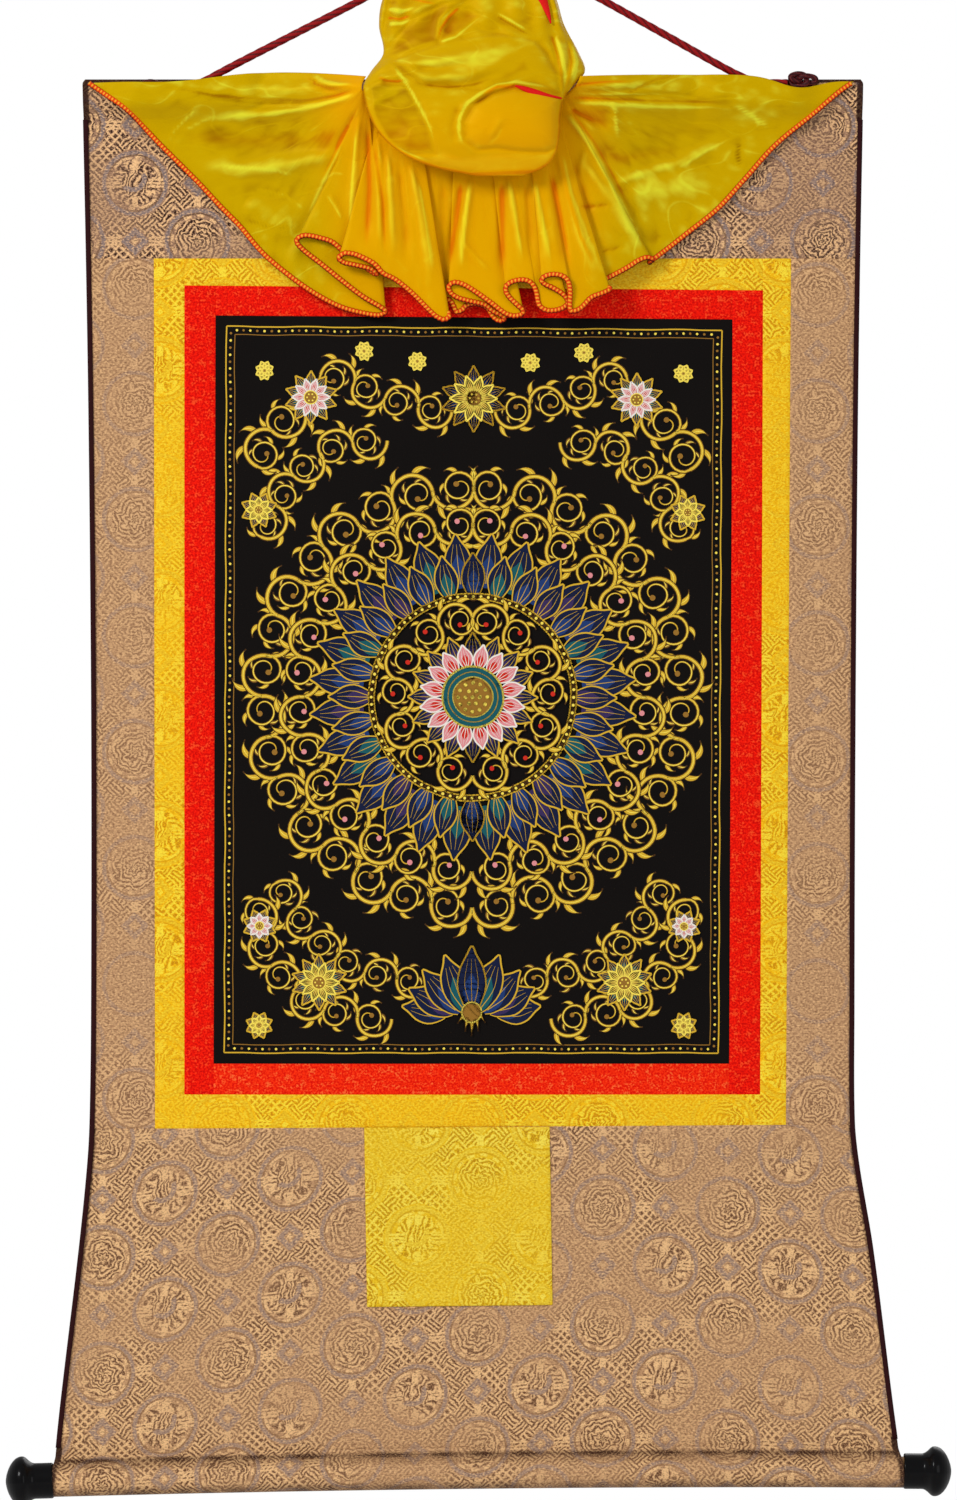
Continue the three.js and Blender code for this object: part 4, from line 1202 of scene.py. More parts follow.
        # The roll's ends and the rims take the dark of the turned binding.
        ends = 0.7 * (1 - smooth_step(2.0, 3.2, rim)) * on_roll
        bound = BOUND * (1 - smooth_step(2.4, 3.0, rim)) * (1 - on_roll)
        # Painted shade on the roll under the seam's lip and towards its underside, made patchy.
        shade = 0.24 * (1 - smooth_step(-8, -4, below)) + 0.46 * smooth_step(3.5, 9, below)
        patchy = 0.75 + 0.25 * np.sin(across / 3.7 + 2.4 * np.sin(across / 13))
        uneven = 0.75 + 0.25 * np.sin(across / 5.3 + 2 * np.sin(across / 23))
        return np.max([seam * uneven, on_roll * shade * patchy, ends, bound], axis=0)

    def pulls(self, across, drop, centre):
        """Uneven dents that the sleeve's stitches draw in the cloth above it."""
        seam = np.exp(-np.abs(drop - (centre - SEAM_RISE)) / 2.6)
        uneven = 0.5 + 0.5 * np.sin(across / 4.1 + 2.2 * np.sin(across / 31))
        return seam * (0.5 + 0.7 * uneven)


LINING_THICKNESS = 0.7
LINING_ROWS, LINING_COLUMNS = 180, 58
LIP = 2.7  # how far the lining comes round to the front
# The lining's turned edge, from its front rim round to the back, as how far in and which layer.
TURNED_EDGE = (
    (LIP, 0.78),
    (LIP - 0.35, 1.0),
    (1.3, 1.08),
    (0.5, 0.95),
    (0.1, 0.45),
    (0.1, -0.4),
    (0.5, -0.9),
    (1.4, -1.05),
    (3.4, -1.0),
)


class SCROLL_OT_lining(Maker):
    """Adds the lining, which turns forward round both of its side edges"""

    bl_idname = "scroll.lining"
    bl_label = "Lining"

    def make(self, scene):
        material = plain_cloth("Lining", linear(36, 10, 13), linear(54, 18, 20))
        top = TOP_HEM + GAP
        v = np.linspace(0, 1, LINING_ROWS)[:, None]
        inner = np.linspace(0, 1, LINING_COLUMNS + 2)[1:-1]
        rim = np.array(TURNED_EDGE)
        count = len(rim)
        inward = np.concatenate([rim[:, 0], np.zeros(len(inner)), rim[::-1, 0]])
        layer = np.concatenate([rim[:, 1], np.full(len(inner), -1.0), rim[::-1, 1]])
        share = np.concatenate([np.zeros(count), inner, np.ones(count)])
        guess = mix(LEFT_EDGE[-4], RIGHT_EDGE[-4], share)
        lower = dowel_drop(guess) - SEAM_RISE - SEAM_TAIL - GAP
        drop = mix(top, lower[None, :], v)
        near_left = left_edge(drop) + rim[-1, 0]
        near_right = right_edge(drop) - rim[-1, 0]
        across = mix(near_left, near_right, share[None, :])
        across[:, :count] = left_edge(drop[:, :count]) + inward[:count]
        across[:, -count:] = right_edge(drop[:, -count:]) - inward[-count:]
        forward = layer * LAYER + hang(across, drop)
        weave = (across, drop)
        piece = cloth("lining_cloth", across, drop, forward, weave, LINING_THICKNESS)
        finish_piece(piece, material, ["lining"])
        size = flat_size(across, drop, forward)


class SCROLL_OT_wood(Maker):
    """Gives the batten and the dowel their wood"""

    bl_idname = "scroll.wood"
    bl_label = "Batten and dowel"

    def make(self, scene):
        shader = Shader("Wood", roughness=0.6, specular_ior_level=0.3)
        grain = shader.noise(shader.solid(), 60, detail=5.0, stretch=(0.3, 8, 8))
        tone = shader.blend(grain, linear(150, 106, 62), linear(196, 152, 100))
        shader.bump(grain, 0.1 * MM)
        shader.colour(tone)
        for node in ("top_batten", "dowel"):
            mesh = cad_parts[node].data
            mesh.materials.clear()
            mesh.materials.append(shader.material)


# The cover cloth, which is gathered up in front of the cord

# The fan's hem from its upper left corner to its upper right one, as across, drop and forward.
# It runs to and fro where the cloth lies in folds.
HEM = (
    ((-231, 1.6, 5), (-221, 8.5, 5.2), (-207.4, 19.1, 4.4), (-189, 38.6, 4), (-166.7, 60.9, 3.8)),
    ((-152, 76.6, 3.8), (-140.2, 88.6, 4), (-126.3, 104.9, 4.4), (-109, 119.5, 5.4)),
    ((-93.4, 130.2, 6.4), (-78.7, 137.6, 6.6), (-63.9, 141.5, 7), (-55.5, 142.2, 7.6)),
    ((-52.4, 140.2, 8.8), (-55.3, 137.6, 9.8), (-66.4, 131, 10), (-78.7, 121.6, 10)),
    ((-91, 111.7, 10), (-101, 104, 10.4), (-105.3, 99.6, 11.2), (-105.6, 97, 12.4)),
    ((-103, 95.2, 13.4), (-99, 94.7, 13.8), (-91, 96.4, 14), (-84, 98.9, 14), (-77, 105, 14)),
    ((-66, 113, 14.2), (-57.5, 118.4, 15), (-61, 115, 16.2), (-71.3, 112.4, 16.6)),
    ((-77.6, 111, 17), (-80.4, 108.4, 18), (-77.4, 105.8, 19), (-71.3, 106.2, 19.5)),
    ((-63.9, 109.3, 20), (-58.4, 112.6, 20), (-54, 117.6, 19.6), (-49.1, 120, 19)),
    ((-44.2, 123, 18.5), (-35.6, 130.2, 18), (-24.5, 141.3, 17.6), (-19.6, 144.8, 17.4)),
    ((-15.6, 145.2, 17), (-14, 142, 15.6), (-18, 138.5, 14.4), (-25, 136.5, 13.4)),
    ((-28, 134.8, 12.4), (-25.6, 133.4, 11.4), (-19.6, 132.3, 11), (-13.2, 134, 11)),
    ((-9.8, 140.5, 10.4), (-6.5, 139.5, 10), (-3.6, 136.4, 9.6), (2.5, 135.7, 9.4)),
    ((8.7, 138, 9.6), (12.4, 143.4, 10.4), (16.5, 146, 11.4), (19.3, 144.6, 12.8)),
    ((16.5, 142.2, 13.8), (12.4, 140.3, 14), (7.5, 136.4, 14.2), (-1.1, 134.3, 14.6)),
    ((-9.8, 131.8, 15), (-14.2, 127.6, 16), (-13.4, 124.2, 17.2), (-10, 123.2, 17.8)),
    ((-5, 124.6, 18), (2.5, 129.2, 18.2), (11.2, 135.4, 18.2), (20.2, 142, 18.2)),
    ((26.7, 143.2, 18.4), (30.6, 141, 19.4), (27.8, 137.6, 20.6), (22.4, 132.4, 21)),
    ((19.8, 127.8, 22), (21.2, 124.6, 23), (25.6, 122.4, 23.6), (32.1, 122.1, 24)),
    ((36.6, 125.1, 24), (38.6, 130.5, 23.6), (40, 136.8, 23.2), (45, 140.2, 23)),
    ((53, 139.3, 23), (57.4, 135.6, 24), (54.4, 130.6, 25), (47.2, 126.2, 25.4)),
    ((42.4, 123.9, 26), (41.8, 121.2, 27), (46.1, 119, 27.6), (52.5, 119.2, 28)),
    ((57, 122.2, 28), (58.6, 128.4, 27.6), (58.4, 136, 27), (59, 140.6, 26.4)),
    ((62.6, 140.2, 26), (66.7, 137.5, 25.4), (69.3, 134.2, 25), (73, 131.6, 24.6)),
    ((78, 129.8, 24), (82.6, 127.2, 22.6), (79, 125, 20.6), (75.4, 123.4, 18.6)),
    ((78.4, 121.8, 16.8), (87, 117.4, 15), (94.5, 113.2, 14), (100, 109.6, 13.4)),
    ((105.4, 107.8, 12.4), (108.2, 109, 10.6), (106.6, 110.6, 8.8), (110.4, 107.6, 7.4)),
    ((118, 101.8, 4.6), (129.3, 92.9, 3.9), (147.4, 78.4, 3.6), (164.3, 60, 3.6)),
    ((180.6, 41.6, 3.6), (199, 25.3, 4), (218, 9.5, 5.4), (229.6, 1.6, 5.2)),
)
# Where each part of the hem is gathered to, as its point along the hem, across and drop, then
# how far it sags and how far forward it stands half way.
GATHER = (
    (0, -64, 0, -5, 7),
    (2, -66, 4, 3, 10),
    (4, -66.5, 7, 5.5, 8),
    (6, -66, 8.6, 4, 9),
    (9, -65, 10, 2, 9),
    (12, -63, 11, 0, 10),
    (18, -62.4, 11, 0, 12),
    (20, -61.5, 11.5, 0, 14),
    (27, -57, 12, 0, 15),
    (31, -54, 12.5, 0, 17),
    (36, -48, 13, 0, 19),
    (42, -36, 13, 0, 18),
    (46, -33, 13, 0, 15),
    (49, -30, 13, 0, 14),
    (56, -18, 13, 0, 14),
    (63, -10, 13, 0, 17),
    (70, 2, 13, 0, 18),
    (75, 10, 13, 0, 20),
    (81, 22, 13, 0, 21),
    (86, 31, 13, 0, 22),
    (91, 38, 13, 0, 22),
    (99, 48, 12.5, 0, 19),
    (102, 50, 12, 0, 16),
    (106, 53.5, 11, 0, 15),
    (108, 55, 10.5, 0, 11),
    (110, 57, 9.8, 1, 9.5),
    (112, 59, 8.4, 3, 7),
    (113, 60.5, 7, 4, 8),
    (114, 62, 5.6, 4, 6.5),
    (115, 63, 4, 3, 8),
    (116, 64, 2, 2, 7.6),
    (117, 64.5, 0, -3, 7),
)
# Folds of the fan, as height, half width and the line that they follow.
FAN_FOLDS = (
    (-2.2, 2.6, (
        (-66.1, 7.1), (-81.8, 12.7), (-100.3, 16.4), (-133.5, 15.4), (-155.7, 10.8),
        (-187.1, 5.3), (-212.9, 3.1),
    )),
    (1.5, 4, ((-72.6, 4.4), (-100.3, 7.1), (-128, 7.1), (-155.7, 4.4), (-181.5, 3.1))),
    (2, 3, ((-67.1, 10.5), (-91.1, 16), (-122.5, 21.4), (-163.1, 23.2), (-181.5, 31.1))),
    (1.8, 2.2, ((-98.5, -1.2), (-91.1, 3.4), (-80, 6), (-65.2, 4.9))),
    (-1.6, 1.6, ((-97.5, 0.9), (-89.2, 7.1), (-74.5, 9.4))),
    (-3, 11, ((-166.8, 35.8), (-128, 34.8), (-100.3, 34.8), (-76.3, 31.1))),
    (-1.6, 3.5, ((-69.8, 21.9), (-76.3, 33), (-84.6, 44.1))),
    (3, 5, ((-83.7, 46.3), (-109.5, 51.4), (-137.2, 55.1), (-159.4, 51.4), (-174.1, 45.9))),
    (-2, 8, ((-140.9, 65.3), (-113.2, 66.2), (-89.2, 68.1))),
    (2, 7, ((-137.2, 73.6), (-118.8, 81), (-104, 93.9))),
    (1.1, 1.4, ((-163.1, 16.4), (-174.1, 25.6), (-184.3, 38.5))),
    (0.9, 1.2, ((-155.7, 21.9), (-170.4, 29.3), (-181.5, 44.1))),
    (1, 1.2, ((-85.5, 69.9), (-81.8, 77.3), (-78.1, 86.5))),
    (1.4, 4, ((-103.1, 95.7), (-108.6, 108.7), (-106.8, 121.6))),
    (1.6, 2.4, ((-68.4, 24.1), (-71.5, 62.5), (-73.8, 97.9))),
    (1.8, 2.2, ((-56.9, 37.9), (-55.8, 74.8), (-54.6, 111.7))),
    (1.8, 1.8, ((-50.7, 47.1), (-48.9, 81), (-47.6, 114.8))),
    (2, 2.6, ((-36.9, 53.3), (-30, 90.2), (-23.8, 128.7))),
    (2, 2.6, ((-0.7, 61), (-5.3, 90.2), (-8.4, 121))),
    (1.8, 2, ((21.6, 61), (25.4, 87.1), (29.3, 114.8))),
    (1.8, 2, ((36.2, 59.4), (40.8, 87.1), (47, 117.9))),
    (2.2, 2.6, ((51.6, 47.1), (60.8, 82.5), (74.6, 125.6))),
    (2, 3.2, ((67, 50.2), (83.9, 74.8), (102.3, 105.6))),
    (-1.8, 2.6, ((-63, 28.7), (-62.3, 67.1), (-63.8, 105.6))),
    (-1.5, 1.8, ((-58.9, 37.9), (-53.8, 74.8), (-52.7, 111.7))),
    (-1.8, 2.6, ((-43.8, 53.3), (-40.7, 87.1), (-39.2, 117.9))),
    (-1.6, 3, ((-17.6, 62.5), (-17.6, 90.2), (-17.6, 117.9))),
    (-1.8, 2.2, ((-6.9, 62.5), (-11.5, 90.2), (-15.3, 117.9))),
    (-1.8, 2.6, ((17.7, 62.5), (17.4, 90.2), (17.7, 125.6))),
    (-1.6, 2, ((32.3, 62.5), (34.3, 87.1), (36.2, 114.8))),
    (-2.2, 2.6, ((47, 56.4), (52.3, 87.1), (57.7, 121))),
    (-1.6, 2.6, ((60.8, 50.2), (68.5, 74.8), (76.2, 99.4))),
    (1, 1.3, ((-5.3, 99.4), (2.3, 108.7), (11.6, 117.9))),
    (-1.6, 2, ((55.9, 10.8), (83.4, 11.9), (114.6, 10.1), (143.9, 12.3), (165.9, 16))),
    (1.8, 4, ((59.5, 15.4), (87.1, 16.7), (123.7, 16.3), (154.9, 17.3))),
    (1.5, 3, ((61.4, 6.4), (87.1, 4.6), (107.2, 2.8), (123.7, -0.2))),
    (-1.2, 1.6, ((65, 9), (90.7, 7.7), (114.6, 4), (123.7, 0.9))),
    (-2, 2.6, ((57.7, 19.6), (68.7, 24.2), (83.4, 30.6))),
    (1.5, 2.5, ((57.7, 20.6), (66.9, 26.1), (77.9, 35.2))),
    (1, 1.6, ((85.2, 14.1), (86.1, 25.1), (88, 36.1))),
    (-2.4, 8, ((72.4, 43.5), (92.6, 45), (110.9, 43.5), (136.6, 41.7))),
    (-1.6, 9, ((85.2, 31.6), (123.7, 30.6), (162.3, 27))),
    (2, 3, ((85.2, 64), (103.6, 56.3), (129.2, 49), (147.6, 38), (162.3, 32.5))),
    (-1.5, 2, ((160.8, 34.3), (159.5, 45.3), (161.5, 54.5))),
    (0.8, 1.2, ((156.8, 15.1), (169.6, 24.2), (182.4, 34.3))),
    (3, 10, ((92.6, 70.1), (118.2, 65.5), (143.9, 54.5))),
    (-1.5, 5, ((99.9, 94.9), (114.6, 94.9))),
    (2.4, 3, ((55.9, 21.5), (70.5, 38), (83.4, 61.8), (94.4, 87.5), (106.3, 106.8))),
    (-1.8, 3, ((78.8, 50.8), (90.7, 71), (104.5, 96.7))),
    (-0.9, 1.2, ((65, 78), (74.2, 77.2), (85.2, 75.6))),
    (-0.9, 1.2, ((76, 104.9), (83.4, 103.3), (92.6, 100.4))),
    (1.2, 3, ((68.7, 43.5), (65, 56.3), (65, 69.2))),
)
BUNCH_FOLDS = (
    (2.2, 4, ((-46.9, -8.2), (-23.8, -7.9), (0.8, -11.6), (19.3, -16.7), (37.7, -19.8))),
    (-2, 3, ((-30, 5.6), (-14.6, 5.6), (0.8, 5.6), (17.7, -2.1))),
    (1.6, 3, ((-43.8, -5.9), (-30, 1), (-17.6, 2.5), (-2.3, 0.2), (16.2, -6.7), (31.6, -9.8))),
    (-1.6, 2.4, ((-34.6, -3.6), (-17.6, -4.4), (0.8, -7.5))),
    (1.2, 1.8, ((-64.1, 1.8), (-56.1, -3.3), (-46.9, -9))),
    (1.2, 1.6, ((54.7, 12.5), (51.9, 2.5), (47, -5.2))),
    (-1.2, 1.6, ((54.3, 13), (45.4, 9), (31.6, 5.9))),
    (-2.5, 9, ((-54.6, 13.3), (-46.9, 25.6), (-36.1, 39.4))),
    (1.3, 1.6, (
        (53.1, 11), (39.3, 7.4), (25.4, 5.3), (7, 10.2), (-5, 18.8), (-8.9, 28.7), (-7.3, 40.2),
        (0, 45.3), (11.6, 42.2),
    )),
    (-1.6, 1.8, ((0.8, 17.9), (13.1, 11), (25.4, 7.9), (37.7, 10.2))),
    (0.9, 2.2, ((10, 37.9), (16.2, 28.7), (20.8, 24.1))),
    (-1.2, 2.2, ((-8.4, 19.4), (-11.5, 31.8), (-10, 44.1))),
    (1, 1.5, ((16.2, -37.5), (25.4, -31.6), (35.4, -25.9))),
    (-1, 1.6, ((14.7, -34.4), (23.9, -29), (33.9, -22.9))),
    (-1.4, 2, ((47, -25.2), (50, -14.4), (52.3, 2.5))),
    (1.2, 2, ((50.8, -25.2), (54.3, -12.9), (54.7, 4.1))),
    (-1.2, 1.8, ((57, -22.1), (59, -11.3), (56.5, 4.1))),
    (1.2, 1.8, ((60.8, -19), (62.3, -8.2), (58.5, 5.6))),
    (-1.8, 2.4, ((-51.5, -35.6), (-43.8, -34.1), (-36.1, -37.2))),
    (1.6, 2.4, ((-50.7, -40.5), (-42.3, -38.7), (-30, -43.6))),
    (-1.4, 2.2, ((-50, -45.2), (-39.2, -43.6), (-30, -48.2))),
    (1.5, 2.2, ((-50.7, -31.3), (-42.3, -31.6), (-36.1, -34.4))),
    (1.4, 2, ((-39.2, -35.9), (-30, -41.3), (-17.6, -45.2), (0.8, -48.2))),
    (1.5, 1.8, ((-20.7, -20.6), (-18.9, -32.9), (-11.5, -40.9))),
    (-2.4, 2.6, ((-16.1, -25.2), (-13, -32.9), (-8.4, -37.5))),
    (1.8, 2.2, ((-20, -19.3), (-10, -22.9), (-0.7, -31.6))),
    (1.6, 3, ((-47.6, -9.8), (-36.1, -14.1), (-20.7, -17.5), (-8.4, -21.3))),
    (-1.4, 2.4, ((0.8, -31.3), (7, -26.7), (22.3, -25.2))),
    (1.5, 3, ((-8.4, -20.6), (7, -23.6), (25.4, -23.6), (39.3, -20.6), (47, -9.8))),
    (-1.2, 2.2, ((39.3, -22.1), (45.4, -12.9), (49.3, -0.6))),
    (1.6, 1.6, ((-48.4, -7.9), (-36.1, 10.2), (-25.3, 31.8), (-22, 47.9))),
    (1.2, 2.2, ((-63.8, 25.6), (-54.6, 37.9), (-43.8, 45.6))),
    (1.6, 3.5, ((-51.5, 50.2), (-30, 56.4), (-8.4, 59.4))),
    (-2, 2.6, ((-54.6, 3.3), (-48.4, 4.4), (-39.2, 3.3))),
    (1.4, 2.4, ((-56.9, 0.7), (-48.4, 1.8), (-39.2, 0.2))),
)
# Outlines of parts of the bunch, as across and drop.
RIGHT_PUFF = (
    (53.1, 13.3), (39.3, 8.4), (25.4, 7.1), (11.6, 11), (1.1, 17.9), (-5, 28.7), (-4.1, 39.4),
    (2.7, 45), (14.7, 44.1), (30, 45.9), (43.9, 45.9), (51.9, 42.5), (54, 25.6),
)
UPPER_TUCK = (
    (-11.5, -40.5), (-17.6, -33.6), (-20.4, -20.2), (-10, -22.7), (-0.4, -31), (5.7, -35.9),
    (-2.3, -40.2),
)
UPPER_HOLLOW = (
    (-52.3, -11.3), (-48.4, -20.6), (-36.1, -33.6), (-17.6, -43.6), (0.8, -47.6),
    (-8.4, -40.9), (-17.6, -34.1), (-20.7, -19.6), (-33, -15.6), (-45.3, -10.6),
)
# Folds that puff out or sink in, as height, how far from their outline, and the outline.
BUNCH_LOBES = (
    (4.5, 9, RIGHT_PUFF),
    (-3.5, 7, (
        (-63, 5.6), (-54.6, 3.8), (-39.2, 5), (-30, 19.4), (-23.8, 34.8), (-22, 47.4),
        (-39.2, 47.4), (-51.5, 39.4), (-60.4, 24.1),
    )),
    (-3, 5, UPPER_TUCK),
    (-2, 8, UPPER_HOLLOW),
    (2.6, 6, (
        (-48.4, -8.6), (-33, -14.7), (-8.4, -21.8), (16.2, -24.9), (37.7, -21.2), (45.4, -12.6),
        (51, 1), (53.1, 11), (37.7, 6.5), (22.3, 5.6), (7, 9.3), (-8.4, 7.4), (-30, 5.9),
        (-42, -3.3),
    )),
)
# Painted shade, highlight and warm glow on the satin: how much darker or lighter, how much warmer,
# the fade and the outline.
FAN_ZONES = (
    (-0.16, 0.25, 18, (
        (-181.5, 27.4), (-137.2, 27.8), (-100.3, 27.8), (-74.5, 28.4), (-80.9, 42.2),
        (-100.3, 45.9), (-128, 46.8), (-155.7, 45), (-174.1, 40.4),
    )),
    (-0.28, 0.05, 9, ((-92.9, 28.6), (-73.9, 27.8), (-81.8, 45), (-94.8, 46.3), (-98.5, 36.7))),
    (-0.16, 0, 12, (
        (-137.2, 62.5), (-118.8, 61.6), (-92.9, 63.4), (-92.9, 73.6), (-107.7, 79.1),
        (-122.5, 75.4), (-133.5, 69.9),
    )),
    (0.1, 0, 14, (
        (-181.5, 40.4), (-155.7, 47.8), (-118.8, 47.8), (-89.2, 49.6), (-92.9, 60.7),
        (-118.8, 60.7), (-144.6, 58.8), (-166.8, 55.1),
    )),
    (0.16, 0, 8, (
        (-214.8, 5.3), (-174.1, 2.5), (-118.8, 0.1), (-81.8, 5.3), (-66.1, 7.1), (-78.1, 9.9),
        (-118.8, 11.2), (-155.7, 9), (-192.6, 7.1),
    )),
    (-0.16, 0, 7, (
        (-188.9, 7.1), (-155.7, 10.8), (-118.8, 13), (-81.8, 12.7), (-91.1, 15.4), (-118.8, 18.2),
        (-155.7, 15.4), (-181.5, 12.7),
    )),
    (0.05, 0, 12, (
        (-155.7, 66.2), (-137.2, 73.6), (-109.5, 81), (-100.3, 88.4), (-107.7, 99.4),
        (-118.8, 99.4), (-133.5, 88.4), (-148.3, 77.3),
    )),
    (-0.2, 0.2, 12, (
        (72.4, 43.5), (92.6, 39.8), (121.9, 38.3), (140.3, 39.8), (121.9, 47.2), (107.2, 51.7),
        (92.6, 56.3), (81.5, 54.5),
    )),
    (-0.12, 0, 16, (
        (85.2, 28.8), (107.2, 25.1), (143.9, 24.2), (169.6, 30.6), (154.9, 36.1), (132.9, 38),
        (96.2, 39.8),
    )),
    (0.14, 0, 12, (
        (92.6, 15.1), (123.7, 16), (154.9, 16.3), (169.6, 18.7), (143.9, 22.4), (107.2, 23.3),
        (88.9, 21.5),
    )),
    (0.1, 0, 14, (
        (88.9, 61.8), (107.2, 60), (132.9, 57.2), (151.3, 54.5), (147.6, 65.5), (129.2, 72.8),
        (110.9, 76.5), (96.2, 72.8),
    )),
    (0.2, 0, 7, (
        (59.5, 6.8), (87.1, 2.2), (121.9, -0.2), (143.9, 6.8), (169.6, 6.8), (151.3, 10.5),
        (114.6, 9.5), (85.2, 11.4), (63.2, 10.1),
    )),
    (-0.2, 0, 8, ((99.9, 93), (114.6, 89.3), (121.9, 94.9), (107.2, 104), (101.7, 98.5))),
    (-0.25, 0.1, 6, ((56.8, 15.1), (83.4, 16), (85.2, 34.3), (77.9, 32.5), (65, 24.2))),
)
BUNCH_ZONES = (
    (-0.27, 0, 3, UPPER_HOLLOW),
    (-0.2, 0.1, 2, UPPER_TUCK),
    (-0.12, 0, 7, (
        (7, -37.5), (37.7, -39), (42.3, -25.2), (37.7, -21.2), (16.2, -24.9), (0.8, -26.7),
    )),
    (0.16, 0, 4, (
        (45.4, -23.6), (57.7, -22.1), (67, -8.2), (67, -2.1), (56.2, 10.2), (50.8, -0.6),
    )),
    (0.26, 0, 5, (
        (-46.9, -7.9), (-30, -11.3), (-8.4, -15.2), (19.3, -19), (35.4, -19.8), (28.5, -12.1),
        (11.6, -3.6), (-8.4, 0.2), (-30, -2.1),
    )),
    (-0.18, 0, 5, (
        (-30.7, 4.8), (-8.4, 5.9), (7, 2.5), (22.3, -4.4), (31.6, -11.3), (36.2, -2.1),
        (22.3, 4.8), (7, 8.7), (-8.4, 7.9), (-28.4, 7.4),
    )),
    (-0.24, -0.2, 3, (
        (-63, 5.6), (-54.6, 3.8), (-39.2, 4.1), (-30, 19.4), (-23.8, 34.8), (-22, 47.4),
        (-39.2, 47.4), (-51.5, 39.4), (-60.4, 24.1),
    )),
    (0, 0.35, 4, RIGHT_PUFF),
    (0.14, 0.5, 6, (
        (-43.8, 45.6), (-30, 50.2), (-17.6, 44.1), (-5.3, 47.9), (16.2, 44.8), (37.7, 45.9),
        (51.9, 42.5), (48.5, 54.1), (37.7, 58.7), (16.2, 60.7), (-5.3, 59.1), (-30, 53.3),
    )),
)
